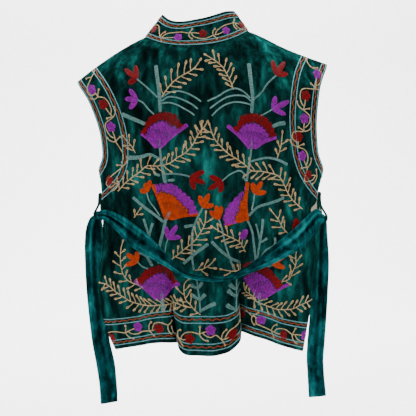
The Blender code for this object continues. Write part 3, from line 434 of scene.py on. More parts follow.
FERNS = rows(
    Fern,
    (15, 23, 18, 50, ((81, -130), (68, -115), (55, -102), (41, -92), (25, -84), (12, -76),
        (-3, -58))), (12, 15, 17, 48, ((146, -238), (152, -226), (160, -217), (169, -205))),
    (13, 18, 18, 50, ((189, -316), (173, -299), (158, -287), (142, -276), (125, -263),
        (109, -263), (93, -261), (78, -256), (64, -246), (48, -237), (31, -220), (19, -201),
        (6, -187), (-2, -176))), (13, 15, 15, 48, ((14, -203), (11, -189), (8, -176))),
    (10, 11, 11, 45, ((154, -368), (147, -359), (138, -348))),
    (13, 18, 18, 50, ((75, -452), (65, -444), (50, -428), (32, -412), (22, -397), (12, -379),
        (7, -352))), (13, 17, 16, 48, ((25, -469), (12, -467), (-2, -459), (-12, -447))),
    (17, 18, 13, 52, ((132, -518), (149, -509), (165, -501), (177, -485), (181, -471),
        (183, -450), (182, -434), (178, -416))),
    (12, 18, 18, 52, ((32, -541), (54, -538), (84, -549), (106, -552), (127, -554), (147, -551),
        (168, -543), (184, -531), (199, -520), (218, -507), (245, -504))),
    (15, 17, 17, 50, ((10, -555), (21, -547), (29, -537), (38, -528), (43, -511), (42, -493),
        (34, -485))),
    (11, 14, 19, 50, ((-59, -116), (-55, -98), (-50, -86), (-44, -74), (-35, -65), (-11, -49))),
    (15, 14, 14, 42, ((-131, -248), (-140, -225), (-146, -196))),
    (13, 18, 18, 50, ((-193, -353), (-172, -336), (-156, -317), (-145, -299), (-131, -282),
        (-115, -277), (-98, -273), (-78, -271), (-66, -260), (-50, -248), (-34, -237),
        (-24, -226), (-14, -214), (-8, -200), (-4, -180))),
    (14, 17, 16, 50, ((-160, -401), (-147, -389), (-136, -370), (-120, -349))),
    (13, 18, 17, 50, ((-82, -441), (-65, -421), (-46, -407), (-28, -398), (-20, -393),
        (-2, -381))), (13, 15, 15, 48, ((-15, -393), (-14, -385), (-14, -377))),
    (13, 15, 15, 48, ((-91, -486), (-50, -474), (-25, -467))),
    (15, 16, 15, 48, ((-178, -508), (-198, -497), (-199, -484), (-199, -466), (-192, -448),
        (-191, -432))),
    (14, 18, 16, 50, ((-128, -543), (-144, -554), (-161, -559), (-185, -563), (-209, -560),
        (-225, -556), (-243, -546), (-282, -534))),
    (12, 13, 13, 45, ((-141, -550), (-129, -539), (-112, -529), (-104, -513))),
)
BUDS = rows(
    Bud, ("red", (125, -96), ((147, -77), (125, -72), (142, -103))),
    ("purple", (130, -135), ((141, -117), (152, -134), (146, -151))),
    ("red", (40, -284), ((15, -273), (14, -295), (32, -306))),
    ("orange", (126, -315), ((120, -293), (129, -299), (138, -312))),
    ("purple", (84, -408), ((88, -385), (67, -382), (60, -404))),
    ("orange", (12, -343), ((20, -322), (3, -318), (-6, -339))),
    ("orange", (147, -460), ((167, -444), (148, -440), (169, -466))),
    ("red", (-147, -88), ((-143, -62), (-167, -64), (-170, -86))),
    ("purple", (-131, -153), ((-139, -131), (-164, -139), (-154, -163))),
    ("red", (-21, -293), ((1, -282), (2, -306), (-20, -312))),
    ("orange", (-87, -316), ((-81, -297), (-99, -295), (-108, -315))),
    ("orange", (-16, -367), ((-2, -352), (-13, -342), (-23, -344))),
    ("orange", (-147, -468), ((-167, -453), (-161, -466), (-176, -476))),
    ("purple", (-70, -411), ((-73, -392), (-66, -393), (-58, -399))),
    ("red", (-172, -398), ((-178, -373), (-187, -379))),
)
FANS = (
    Fan("purple", "red", (100, -228), rows(
        Ray, (47, 41, 0), (32, 36, 44), (13, 43, 58), (-4, 49, 66), (-15, 54, 71), (-26, 55, 75),
        (-36, 52, 76), (-44, 57, 70), (-54, 77, 0),
    )),
    Fan("orange", "purple", (83, -369), rows(
        Ray, (24, 76, 0), (19, 56, 73), (4, 53, 73), (-12, 50, 70), (-28, 44, 63), (-42, 42, 62),
        (-54, 42, 63), (-65, 45, 61), (-79, 61, 0),
    )),
    Fan("purple", "red", (108, -541), rows(
        Ray, (48, 62, 0), (33, 44, 59), (18, 46, 67), (6, 51, 70), (-9, 59, 77), (-18, 61, 80),
        (-28, 55, 72), (-43, 52, 69), (-51, 71, 0),
    )),
    Fan("purple", "red", (-82, -229), rows(
        Ray, (44, 62, 0), (28, 42, 51), (16, 46, 63), (5, 48, 66), (-9, 50, 68), (-23, 49, 69),
        (-39, 46, 65), (-56, 43, 57), (-66, 55, 0),
    )),
    Fan("orange", "purple", (-71, -372), rows(
        Ray, (0, 78, 0), (3, 59, 70), (8, 48, 62), (17, 39, 55), (29, 29, 50), (52, 24, 47),
        (80, 22, 45), (100, 41, 0),
    )),
    Fan("purple", "red", (-149, -547), rows(
        Ray, (45, 68, 0), (35, 71, 99), (28, 70, 98), (19, 61, 90), (8, 51, 72), (-5, 44, 61),
        (-21, 39, 53), (-54, 65, 0),
    )),
)


# ---------------------------------------------------------------- curves and tables
def column(table, name):
    return np.array([getattr(row, name) for row in table])


def smooth(at, knots, values):
    """A value on the smooth curve through values at knots, level past both ends."""
    slopes = np.gradient(values, knots)
    i = np.clip(np.searchsorted(knots, at) - 1, 0, len(knots) - 2)
    step = knots[i + 1] - knots[i]
    s = np.clip((at - knots[i]) / step, 0, 1)
    start = (1 + 2 * s) * (1 - s) ** 2 * values[i] + s * (1 - s) ** 2 * step * slopes[i]
    end = s * s * (3 - 2 * s) * values[i + 1] - s * s * (1 - s) * step * slopes[i + 1]
    return start + end


def smooth_column(table, key, name, at):
    return smooth(at, column(table, key), column(table, name))


def ease(share):
    """Rises smoothly from 0 to 1."""
    s = np.clip(share, 0, 1)
    return s * s * (3 - 2 * s)


def look_up(table, row, place):
    """Reads a table between its rows and columns."""
    r = np.clip(row, 0, table.shape[0] - 1.001)
    c = np.clip(place, 0, table.shape[1] - 1.001)
    i, j = r.astype(int), c.astype(int)
    a, b = r - i, c - j
    low = (1 - b) * table[i, j] + b * table[i, j + 1]
    high = (1 - b) * table[i + 1, j] + b * table[i + 1, j + 1]
    return (1 - a) * low + a * high


def unit(vectors):
    return vectors / np.linalg.norm(vectors, axis=-1, keepdims=True)


def run_along(points):
    """The length along a line to each of its points."""
    return np.concatenate([[0], np.cumsum(np.linalg.norm(np.diff(points, axis=0), axis=-1))])


def run_of(line):
    """A line's whole length."""
    return float(np.linalg.norm(np.diff(line, axis=0), axis=-1).sum())


def swell(wave, power):
    """A sine or cosine made squarer by a power below 1."""
    return np.sign(wave) * np.abs(wave) ** power


def per_axis(function, values):
    """Applies a function to each coordinate of points."""
    return np.stack([function(values[..., i]) for i in range(values.shape[-1])], axis=-1)


def on_stage(name, data):
    """An object that shows data, in the scene."""
    thing = bpy.data.objects.new(name, data)
    bpy.context.scene.collection.objects.link(thing)
    return thing


# ---------------------------------------------------------------- the hanging cloth
Cloth = namedtuple("Cloth", "outward length x y")  # a half's rings, at even angles and even lengths
LEVELS = np.linspace(HEM_LEVEL - 0.04, 0.06, 150)  # past the hem and the shoulders
ANGLES = np.linspace(0, math.pi, 361)  # from the left side to the right
ACROSS = np.linspace(-0.42, 0.42, 421)
MIDDLE = len(ANGLES) // 2
HUMP_PEAK = 0.4289  # the most that d * exp(-d * d) reaches
NORMAL_STEP = 0.002  # how far apart the cloth is sampled for the way out of it


def lengths_from_middle(x, y):
    """Length along each ring from its middle, positive to the left."""
    pieces = np.hypot(np.diff(x, axis=1), np.diff(y, axis=1))
    along = np.concatenate([np.zeros((len(x), 1)), np.cumsum(pieces, axis=1)], axis=1)
    return along[:, [MIDDLE]] - along


def creases(half, girth):
    """How far the folds draw each point of the rings inward and to the left."""
    inward, leftward = np.zeros_like(girth), np.zeros_like(girth)
    level = LEVELS[:, None]
    for fold in FOLDS:
        if fold.half != half:
            continue
        strength = ease((fold.top - level) / (fold.top - HEM_LEVEL))
        place = girth - fold.across - fold.lean * (level - HEM_LEVEL)
        place = place / np.where(place > 0, fold.left, fold.right)
        inward += fold.depth * strength * np.exp(-(place**2))
        leftward -= fold.pinch * strength * place / 2 * np.exp(-((place / 2) ** 2)) / HUMP_PEAK
    return inward, leftward


def rings(half, creased):
    """x and y on every level and angle of one half of the body, with its folds or without."""
    centre, width, depth = (
        smooth_column(SECTIONS, "height", name, LEVELS)[:, None]
        for name in ("centre", "half_width", half)
    )
    cosine, sine = np.cos(ANGLES), np.sin(ANGLES)
    power = 2 / SQUARENESS
    x = centre + width * swell(cosine, power)
    y = OUTWARD[half] * depth * np.abs(sine) ** power
    if not creased:
        return x, y
    inward, leftward = creases(half, lengths_from_middle(x, y))
    if half == "front":
        from_side = (math.pi - ANGLES) / FLARE_ANGLE
        inward -= smooth_column(FLARE, "height", "out", LEVELS)[:, None] * np.exp(-(from_side**2))
    right_x, right_y = np.gradient(x, axis=1), np.gradient(y, axis=1)
    size = np.hypot(right_x, right_y)
    right_x, right_y = right_x / size, right_y / size
    x = x - leftward * right_x - OUTWARD[half] * inward * right_y
    y = y - leftward * right_y + OUTWARD[half] * inward * right_x
    return x, y


def hang(half, creased=True):
    """The cloth of one half, with tables of x and y at even lengths across it."""
    x, y = rings(half, creased)
    length = lengths_from_middle(x, y)
    tables = [
        np.array([np.interp(ACROSS, at[::-1], row[::-1]) for row, at in zip(values, length)])
        for values in (x, y)
    ]
    return Cloth(OUTWARD[half], length, *tables)


CLOTHS = {half: hang(half) for half in OUTWARD}
TAUT_BACK = hang("back", creased=False)


def level_row(level):
    return (level - LEVELS[0]) / (LEVELS[1] - LEVELS[0])


def cloth_place(table, across, level):
    """Reads a cloth's table of x or y at a place across it and a level."""
    return look_up(table, level_row(level), (across - ACROSS[0]) / (ACROSS[1] - ACROSS[0]))


def edge_across(cloth, side, level, angle):
    """How far across the cloth a point lies that is angle degrees from the side."""
    place = np.radians(angle) / (ANGLES[1] - ANGLES[0])
    place = place if side == LEFT else len(ANGLES) - 1 - place
    return look_up(cloth.length, level_row(level), place)


def shoulder_line(x):
    return smooth_column(SHOULDERS, "across", "height", x)


def hem_lift(half, across, level):
    """How far the folds draw the cloth up, fading out from the hem."""
    hems = [hem for hem in HEMS if hem.half == half]
    at_hem = smooth_column(hems, "across", "height", across) - HEM_LEVEL
    return at_hem * np.clip((LIFT_TOP - level) / (LIFT_TOP - HEM_LEVEL), 0, None) ** LIFT_FADE


def drape(half, across, level, cloth=None):
    """Where a point of a half's cloth hangs."""
    cloth = cloth or CLOTHS[half]
    across, level = np.broadcast_arrays(np.asarray(across, float), np.asarray(level, float))
    x = cloth_place(cloth.x, across, level)
    below = np.clip((shoulder_line(x) - level) / CAP, 0, 1)
    y = cloth_place(cloth.y, across, level) * np.sqrt(1 - (1 - below) ** 2)
    y = y + cloth.outward * SEAM / 2
    return np.stack([x, y, level + hem_lift(half, across, level)], axis=-1)


def drape_normal(half, across, level, cloth=None):
    """The way out of the cloth at a point."""
    step = NORMAL_STEP
    along = drape(half, across + step, level, cloth) - drape(half, across - step, level, cloth)
    up = drape(half, across, level + step, cloth) - drape(half, across, level - step, cloth)
    return -OUTWARD[half] * unit(np.cross(along, up))


# ---------------------------------------------------------------- panels
def top_line(half, x):
    """The level where a panel ends: at its neckline, or beyond the neck points at the shoulder."""
    left, right = NECK_POINTS[LEFT], NECK_POINTS[RIGHT]
    share = (x - right.across) / (left.across - right.across)
    from_middle = np.clip(np.abs(2 * share - 1), 0, 1)
    neckline = right.height + share * (left.height - right.height)
    neckline = neckline - NECK_DROP[half] * (1 - from_middle**NECK_ROUNDNESS)
    return np.where(from_middle < 1, neckline, shoulder_line(x))


def top_level(half, across):
    """The level of the panel's top edge at places across the cloth."""
    level = np.full_like(across, UNDERARM_LEVEL / 4)
    for _ in range(SETTLING_STEPS):
        level = (level + top_line(half, cloth_place(CLOTHS[half].x, across, level))) / 2
    return level


def front_gap(level):
    share = (level - HEM_LEVEL) / -HEM_LEVEL
    return FRONT_GAP_HEM + (FRONT_GAP_TOP - FRONT_GAP_HEM) * share


def panel_edge(half, side):
    """Up a panel's outer edge (vent, side seam, armhole, shoulder tip): its levels, how far across
    the side of the body lies there, and how far across the edge lies."""
    cloth = CLOTHS[half]
    tip_across = edge_across(cloth, side, UNDERARM_LEVEL / 3, getattr(ARMHOLE[-1], half))
    tip = top_level(half, np.array([tip_across]))[0]
    low = np.linspace(HEM_LEVEL, UNDERARM_LEVEL, ROWS_BELOW_ARM + 1)
    low_angles = smooth_column(VENT, "height", f"{half}_{SIDE_NAME[side]}", low)
    along = np.arange(1, ROWS_BY_ARM + 1) / ROWS_BY_ARM
    high = UNDERARM_LEVEL + smooth_column(ARMHOLE, "along", "rise", along) * (tip - UNDERARM_LEVEL)
    high_angles = smooth_column(ARMHOLE, "along", half, along)
    levels = np.concatenate([low, high])
    angles = np.concatenate([low_angles, high_angles])
    return levels, edge_across(cloth, side, levels, 0), edge_across(cloth, side, levels, angles)


def middle_rows():
    """The rows' shares of the height up the middle, closer together where the cloth rounds over."""
    count = ROWS_BELOW_ARM + ROWS_BY_ARM
    from_top = count - np.arange(count + 1)
    rounding = CAP * (1 - np.cos(np.clip(from_top / ROWS_IN_CAP, 0, 1) * math.pi / 2))
    straight = np.clip(from_top - ROWS_IN_CAP, 0, None) / (count - ROWS_IN_CAP)
    return 1 - rounding / -HEM_LEVEL - straight * (1 - CAP / -HEM_LEVEL)


def column_shares(half, side, across_top):
    """The columns' shares of the way from a panel's middle to its side, one of them at the neck."""
    neck = NECK_POINTS[side]
    level = top_level(half, across_top)
    hangs_at = cloth_place(CLOTHS[half].x, across_top, level) * side
    fine = np.linspace(0, 1, len(across_top))
    neck_share = float(np.interp(neck.across * side, hangs_at, fine))
    inner, outer = NECK_COLUMNS[half, side], SIDE_COLUMNS[half, side]
    step = np.arange(inner) / inner
    by_neck = (step + np.sin(step * math.pi / 2)) / 2
    return np.concatenate([neck_share * by_neck, np.linspace(neck_share, 1, outer + 1)])


def half_panel(half, side):
    """Points and normals of the panel from its middle (or front edge) to one side, by column and
    row. The column numbered NECK_COLUMNS ends at the neck point."""
    edge_levels, full, edge = panel_edge(half, side)
    inner = side * front_gap(edge_levels) if half == "front" else 0 * edge

    def across_at(shares):
        shares = shares[:, None]
        return inner + shares * (full - inner) - shares**EDGE_BIAS * (full - edge)

    shares = column_shares(half, side, across_at(np.linspace(0, 1, FINE_STEPS))[:, -1])
    across = across_at(shares)
    top = top_level(half, across[:, -1])
    top[NECK_COLUMNS[half, side]] = NECK_POINTS[side].height
    edge_rows = (edge_levels - HEM_LEVEL) / (edge_levels[-1] - HEM_LEVEL)
    weight = shares[:, None] ** EDGE_BIAS
    share_up = (1 - weight) * middle_rows() + weight * edge_rows
    levels = HEM_LEVEL + (top[:, None] - HEM_LEVEL) * share_up
    points, normals = drape(half, across, levels), drape_normal(half, across, levels)
    lift = rise(half, across, levels)
    # The nap's lie with painted light and shade, at the panel's corners
    NAP_AND_SHADE_GRIDS[half, side] = nap_and_painted_shade(half, across, levels)
    points = points + normals * lift[..., None]
    at_side = (edge_levels >= VENT_TOP) & (edge_levels <= UNDERARM_LEVEL + SEAM)
    at_shoulder = slice(NECK_COLUMNS[half, side], None)
    points[-1, at_side, 1] = points[at_shoulder, -1, 1] = OUTWARD[half] * SEAM / 2
    normals[-1, at_side, 1] = normals[at_shoulder, -1, 1] = 0
    normals = unit(normals)
    at_neck = slice(None, NECK_COLUMNS[half, side] + 1)
    normals[at_neck, -1] = mitre(normals[at_neck, -1], collar_facing(points[at_neck, -1]))
    return points, normals


def collar_facing(points):
    """The way out of the collar above points of the neckline."""
    middle = (NECK_POINTS[LEFT].across + NECK_POINTS[RIGHT].across) / 2
    outward = unit((points - np.array([middle, 0, 0])) * (1, 1, 0))
    return unit(outward + np.array([0, 0, COLLAR_SLOPE]))


def mitre(one, other):
    """The offset that keeps both walls' thickness where they meet at an angle."""
    between = unit(one + other)
    return between / np.clip((between * one).sum(axis=-1, keepdims=True), MITRE_LIMIT, 1)


def streaks(table, half, across, level):
    """The sum of a half's creases or shades at places across it."""
    a, l = np.broadcast_arrays(np.asarray(across) * 1000, np.asarray(level) * 1000)
    a = a + WANDER * np.sin(l / 31 + a / 50)
    total = np.zeros(a.shape)
    for streak in table:
        if streak.half != half:
            continue
        way_a, way_l = streak.to_across - streak.across, streak.to_level - streak.level
        run = math.hypot(way_a, way_l)
        share = ((a - streak.across) * way_a + (l - streak.level) * way_l) / run**2
        aside = ((a - streak.across) * way_l - (l - streak.level) * way_a) / run
        strength = ease(share / CREASE_FADE) * ease((1 - share) / CREASE_FADE)
        total += streak.out * strength * np.exp(-((aside / streak.spread) ** 2))
    return total


def rise(half, across, level):
    """How far the listed creases lift the cloth, in metres."""
    return streaks(CREASES, half, across, level) / 1000


def nap_and_painted_shade(half, across, level):
    """How much lighter the velvet is painted: the nap's lie with painted light and shade streaks,
    and painted shade and highlight on the creases.
    """
    on_creases = CREASE_SHADING * streaks(CREASES, half, across, level)
    return SHADE_STRENGTH * streaks(SHADES, half, across, level) + on_creases


# ---------------------------------------------------------------- collar
def grid_normals(points):
    """The way out of a grid whose columns run to the right round the neck and whose rows run up."""
    along = np.gradient(points, axis=0)
    up = np.gradient(points, axis=1)
    return unit(np.cross(along, up))


def neckline(panels):
    """Points and normals at the neckline, from the left front edge round the back to the right
    front edge, with each point's station."""
    rims, stations = [], []
    for half, side in (("front", LEFT), ("back", LEFT), ("back", RIGHT), ("front", RIGHT)):
        points, normals = panels[half, side]
        count = NECK_COLUMNS[half, side]
        last = count + 1 if half == "back" else count
        rim = np.stack([points[:, -1], normals[:, -1]])[:, :last]
        share = np.arange(last) / count
        station = side * (share if half == "back" else 2 - share)
        inward_order = (half == "back") == (side == LEFT)
        order = slice(None, None, -1) if inward_order else slice(None)
        skip = 1 if (half, side) == ("back", RIGHT) else 0
        rims.append(rim[:, order][:, skip:])
        stations.append(station[order][skip:])
    return np.concatenate(rims, axis=1), np.concatenate(stations)


# ---------------------------------------------------------------- cloth pieces
def made(name, corners, faces, materials, kinds=None, sharp=SHARP_ANGLE, nap_and_shade=None):
    """A named piece from corners and faces, each face with its kind of material. The per-corner
    values say how much lighter (or darker, below 0) the velvet is at each corner: the nap's lie
    with painted light and shade."""
    mesh = bpy.data.meshes.new(name)
    mesh.from_pydata(np.asarray(corners).tolist(), [], [list(map(int, face)) for face in faces])
    for material in materials:
        mesh.materials.append(material)
    if kinds is not None:
        mesh.polygons.foreach_set("material_index", kinds)
    shape = bmesh.new()
    shape.from_mesh(mesh)
    bmesh.ops.recalc_face_normals(shape, faces=shape.faces)
    shape.to_mesh(mesh)
    shape.free()
    if nap_and_shade is not None:
        values = np.asarray(nap_and_shade, np.float32).reshape(-1)
        mesh.attributes.new("nap_and_shade", "FLOAT", "POINT").data.foreach_set("value", values)
    mesh.shade_smooth()
    if sharp:
        mesh.set_sharp_from_angle(angle=math.radians(sharp))
    piece = on_stage(name, mesh)
    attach(piece, "root")
    return piece


def quads(near, far):
    """Faces between two rows of corners, or between two sets of rows."""
    corners = (near[..., :-1], far[..., :-1], far[..., 1:], near[..., 1:])
    return np.stack(corners, axis=-1).reshape(-1, 4)


def cloth_wall(name, points, normals, thickness, materials, nap_and_shade=None, facing=0):
    """A closed wall of velvet outside and lining inside, with a turned edge. facing is how many of
    the inside's last columns are faced with velvet."""
    columns, height = points.shape[:2]
    number = np.arange(columns * height).reshape(columns, height)
    skin = quads(number[:-1], number[1:])
    rim = np.concatenate([number[:, 0], number[-1, 1:], number[-2::-1, -1], number[0, -2:0:-1]])
    after, inside = np.roll(rim, -1), columns * height
    offset = normals * thickness / 2
    corners = np.concatenate([(points + offset).reshape(-1, 3), (points - offset).reshape(-1, 3)])
    edge = np.stack([rim, after, after + inside, rim + inside], axis=-1)
    faces = np.concatenate([skin, skin[:, ::-1] + inside, edge])
    # The inside is lining; the faced columns and the turned edge take the lighter velvet copy, a
    # painted highlight on the edges.
    inner = np.full((columns - 1, height - 1), 1)
    if facing:
        inner[-facing:] = 2
    kinds = [0] * len(skin) + inner.reshape(-1).tolist() + [2] * len(edge)
    nap_and_shade = None if nap_and_shade is None else np.concatenate([nap_and_shade.reshape(-1)] * 2)
    return made(name, corners, faces, materials, kinds, nap_and_shade=nap_and_shade)


def ribbon(name, middle, across, width, thick, materials, wrinkles):
    """A flat band of cloth, folded double, with wrinkles that run along it."""
    along = unit(np.gradient(middle, axis=0))
    across = unit(across - along * (across * along).sum(axis=-1, keepdims=True))
    out = np.cross(across, along)
    turn = np.arange(RIBBON_POINTS) / RIBBON_POINTS * 2 * math.pi
    wide = swell(np.cos(turn), EDGE_ROUNDING)
    way = np.linspace(0, 1, len(middle))[:, None]
    lift = np.zeros((len(middle), RIBBON_POINTS))
    for wrinkle in wrinkles:
        place = wrinkle.place + wrinkle.drift * way
        place = place + wrinkle.wave * np.sin(wrinkle.turns * way * 2 * math.pi)
        strength = np.exp(-(((way - wrinkle.middle) / wrinkle.reach) ** 2))
        across_it = np.exp(-(((wide - place) / wrinkle.spread) ** 2))
        lift = lift + wrinkle.out / 1000 * strength * across_it
    flat = (1 - wide**6) * np.clip(width / FULL_WIDTH, 0, 1)[:, None]
    # Painted shade in the wrinkles' troughs, painted highlight on their ridges and along the band's
    # edges
    nap_and_shade = WRINKLE_SHADING * lift * 1000 + EDGE_HIGHLIGHT * wide**10 + 0 * way
    ring = (
        middle[:, None]
        + across[:, None] * (wide[None, :] * width[:, None] / 2)[..., None]
        + out[:, None] * (np.sin(turn)[None, :] * thick[:, None] / 2 + lift * flat)[..., None]
    )
    number = np.arange(ring.size // 3).reshape(ring.shape[:2])
    closed = np.concatenate([number, number[:, :1]], axis=1)
    ends = [number[0].tolist(), number[-1, ::-1].tolist()]
    faces = quads(closed[:-1], closed[1:]).tolist() + ends
    return made(name, ring.reshape(-1, 3), faces, materials, sharp=RIBBON_SHARP_ANGLE, nap_and_shade=nap_and_shade)


def make_panels(panels, materials):
    """The back in one piece and the two fronts."""
    right_points, right_normals = panels["back", RIGHT]
    left_points, left_normals = panels["back", LEFT]
    points = np.concatenate([right_points[:0:-1], left_points])
    normals = np.concatenate([right_normals[:0:-1], left_normals])
    # The nap and the painted light and shade at each corner
    nap_and_shade = np.concatenate([NAP_AND_SHADE_GRIDS["back", RIGHT][:0:-1], NAP_AND_SHADE_GRIDS["back", LEFT]])
    back = cloth_wall("back_cloth", points, normals, WALL, materials, nap_and_shade)
    left, right = (
        cloth_wall(
            f"front_{SIDE_NAME[side]}_cloth", *panels["front", side], WALL, materials,
            NAP_AND_SHADE_GRIDS["front", side], FACING[side],
        )
        for side in (LEFT, RIGHT)
    )
    return back, left, right


Band = namedtuple("Band", "points normals around up")  # a collar's grid, with its lengths in mm


def collar_band(panels):
    (seam, seam_normals), stations = neckline(panels)
    inward = -unit(collar_facing(seam) * (1, 1, 0))
    onward = unit(np.cross(np.gradient(seam, axis=0), seam_normals))
    onward = onward * np.sign(onward[:, [2]])
    lift = smooth_column(COLLAR, "station", "rise", stations)[:, None]
    lean = smooth_column(COLLAR, "station", "lean", stations)[:, None]
    foot = seam + onward * SEAM
    top = seam + inward * lean + lift * np.array([0, 0, 1])
    shares = np.linspace(0, 1, COLLAR_ROWS + 1)[None, :, None]
    points = foot[:, None] + (top - foot)[:, None] * shares
    normals = grid_normals(points)
    normals[:, 0] = seam_normals * WALL / COLLAR_WALL
    half_way = points[:, COLLAR_ROWS // 2]
    around = run_along(half_way)
    around = np.interp(0, stations[::-1], around[::-1]) - around
    up = np.linalg.norm(top - foot, axis=-1)
    long_wave, short_wave = np.sin(around * 1000 / 17 + 2.2), np.sin(around * 1000 / 7.3)
    ripple = COLLAR_RIPPLE * (long_wave + 0.6 * short_wave)[:, None]
    ripple = ripple * np.sin(shares[..., 0] * math.pi)
    return Band(points + normals * ripple[..., None], normals, around * 1000, up * 1000)


def make_sash_back(materials):
    stations = column(SAG, "across")
    share = np.linspace(0, 1, SASH_STEPS + 1)
    share = (share + (1 - np.cos(share * math.pi)) / 2) / 2
    at = stations[0] + share * (stations[-1] - stations[0])
    height, roll, width, thick, clear = (
        smooth_column(SAG, "across", name, at) for name in Sag._fields[1:]
    )
    roll = np.radians(roll)
    out = drape_normal("back", at, height, TAUT_BACK)
    stand_off = WALL / 2 + clear + thick / 2 * np.cos(roll) + width / 2 * np.sin(roll)
    middle = drape("back", at, height, TAUT_BACK) + out * stand_off[:, None]
    along = unit(np.gradient(middle, axis=0))
    up = unit(np.cross(along, out))
    across = up * np.cos(roll)[:, None] - out * np.sin(roll)[:, None]
    return ribbon("sash_back_cloth", middle, across, width, thick, materials, BACK_WRINKLES), middle


def make_tail(name, side, table, materials, wrinkles):
    at = np.linspace(0, 1, TAIL_STEPS + 1) ** TAIL_CROWDING
    height, out, back, turn, tilt, width, thick = (
        smooth_column(table, "along", key, at) for key in Tail._fields[1:]
    )
    middle = np.stack([side * out, back, height], axis=-1)
    turn, tilt = np.radians(turn), np.radians(tilt)
    level = np.stack([side * np.cos(turn), np.sin(turn), 0 * turn], axis=-1)
    across = level * np.cos(tilt)[:, None] + np.array([0, 0, 1]) * np.sin(tilt)[:, None]
    return ribbon(name, middle, across, width, thick, materials, wrinkles), middle


def make_loop(name, side, materials):
    knots = np.arange(len(LOOP) + 1)
    at = np.arange(LOOP_STEPS) / LOOP_STEPS * len(LOOP)
    closed = list(LOOP) + [LOOP[0]]
    out_way, down = (smooth(at, knots, column(closed, key)) for key in Loop._fields)
    height = LOOP_TOP[side] - down * LOOP_LENGTH[side]
    turn = math.radians(LOOP_TURN)
    outward = np.array([side * math.cos(turn), math.sin(turn), 0])
    breadth = np.array([-side * math.sin(turn), math.cos(turn), 0])
    at_side = cloth_place(TAUT_BACK.x, edge_across(TAUT_BACK, side, height, 0), height)
    clear = WALL / 2 + SEAM + LOOP_THICK / 2 + LOOP_WIDTH / 2 * abs(math.sin(turn))
    path = np.stack([at_side + side * clear, 0 * at_side + LOOP_PLACE, height], axis=-1)
    path = path + outward * (out_way * LOOP_REACH[side])[:, None]
    along = unit(np.roll(path, -1, axis=0) - np.roll(path, 1, axis=0))
    out = np.cross(along, breadth)
    turns = np.arange(LOOP_POINTS) / LOOP_POINTS * 2 * math.pi
    wide, deep = swell(np.cos(turns), LOOP_FLATNESS), swell(np.sin(turns), LOOP_FULLNESS)
    ring = (
        path[:, None]
        + breadth * (wide * LOOP_WIDTH / 2)[None, :, None]
        + out[:, None] * (deep * LOOP_THICK / 2)[None, :, None]
    )
    number = np.arange(ring.size // 3).reshape(ring.shape[:2])
    closed = np.pad(number, ((0, 1), (0, 1)), "wrap")
    faces, nap_and_shade = quads(closed[:-1], closed[1:]), np.full(number.shape, LOOP_PILE)
    return made(name, ring.reshape(-1, 3), faces, materials, sharp=RIBBON_SHARP_ANGLE, nap_and_shade=nap_and_shade)


# ---------------------------------------------------------------- materials
class Finish:
    """One material's nodes, wired by name."""

    def __init__(self, name, roughness, specular=0.3):
        self.material = bpy.data.materials.new(name)
        self.material.use_nodes = True
        self.tree = self.material.node_tree
        self.shader = self.tree.nodes["Principled BSDF"]
        self.shader.inputs["Roughness"].default_value = roughness
        self.shader.inputs["Specular IOR Level"].default_value = specular

    def node(self, kind, inputs=None, **settings):
        node = self.tree.nodes.new("ShaderNode" + kind)
        for key, value in settings.items():
            setattr(node, key, value)
        for key, value in (inputs or {}).items():
            if isinstance(value, bpy.types.NodeSocket):
                self.tree.links.new(value, node.inputs[key])
            else:
                node.inputs[key].default_value = value
        return node

    def place(self, scale, output="Object"):
        """The piece's own coordinates, scaled."""
        source = self.node("TexCoord").outputs[output]
        return self.node("Mapping", {"Vector": source, "Scale": scale}).outputs["Vector"]

    def noise(self, scale, detail=2.0, roughness=0.5, distortion=0.0, stretch=(1, 1, 1)):
        at = self.place(tuple(scale * s for s in stretch))
        settings = {
            "Vector": at, "Scale": 1.0, "Detail": detail, "Roughness": roughness,
            "Distortion": distortion,
        }
        return self.node("TexNoise", settings).outputs["Fac"]

    def math(self, operation, one, other=0.0):
        return self.node("Math", {0: one, 1: other}, operation=operation).outputs[0]

    def ramp(self, value, *stops):
        """A colour for each share of a value."""
        node = self.node("ValToRGB", {"Fac": value})
        node.color_ramp.interpolation = "EASE"
        elements = node.color_ramp.elements
        while len(elements) < len(stops):
            elements.new(0.5)
        for element, (at, colour) in zip(elements, sorted(stops, key=lambda stop: stop[0])):
            element.position = at
            element.color = (*linear(colour), 1)
        return node.outputs["Color"]

    def mix(self, kind, share, one, other):
        inputs = {0: share, 6: one, 7: other}
        return self.node("Mix", inputs, data_type="RGBA", blend_type=kind).outputs[2]

    def shaded(self, share, colour, value, *stops):
        """A colour darkened by a value, through greys from 0 to 255 at places along it."""
        greys = self.ramp(value, *((at, (grey,) * 3) for at, grey in stops))
        return self.mix("MULTIPLY", share, colour, greys)

    def bump(self, height, distance, strength=1.0, under=None):
        inputs = {"Height": height, "Distance": distance, "Strength": strength}
        if under is not None:
            inputs["Normal"] = under
        return self.node("Bump", inputs).outputs["Normal"]

    def finish(self, colour, normal, **values):
        self.tree.links.new(colour, self.shader.inputs["Base Color"])
        self.tree.links.new(normal, self.shader.inputs["Normal"])
        for key, value in values.items():
            self.shader.inputs[key.replace("_", " ").title()].default_value = value
        return self.material


def linear(colour):
    """A colour given as 0 to 255 on the screen, as light."""
    share = np.array(colour) / 255
    low, high = share / 12.92, ((share + 0.055) / 1.055) ** 2.4
    return tuple(float(c) for c in np.where(share <= 0.04045, low, high))


LEAN_STOPS = (0.348, 0.438, 0.520, 0.602, 0.702)  # where the lean, the nap's lie with the painted light and shade, gives each velvet colour
PATCHES, MOTTLE, DRIFT = 0.57, 0.27, 0.16  # what each size of patch adds to the lean


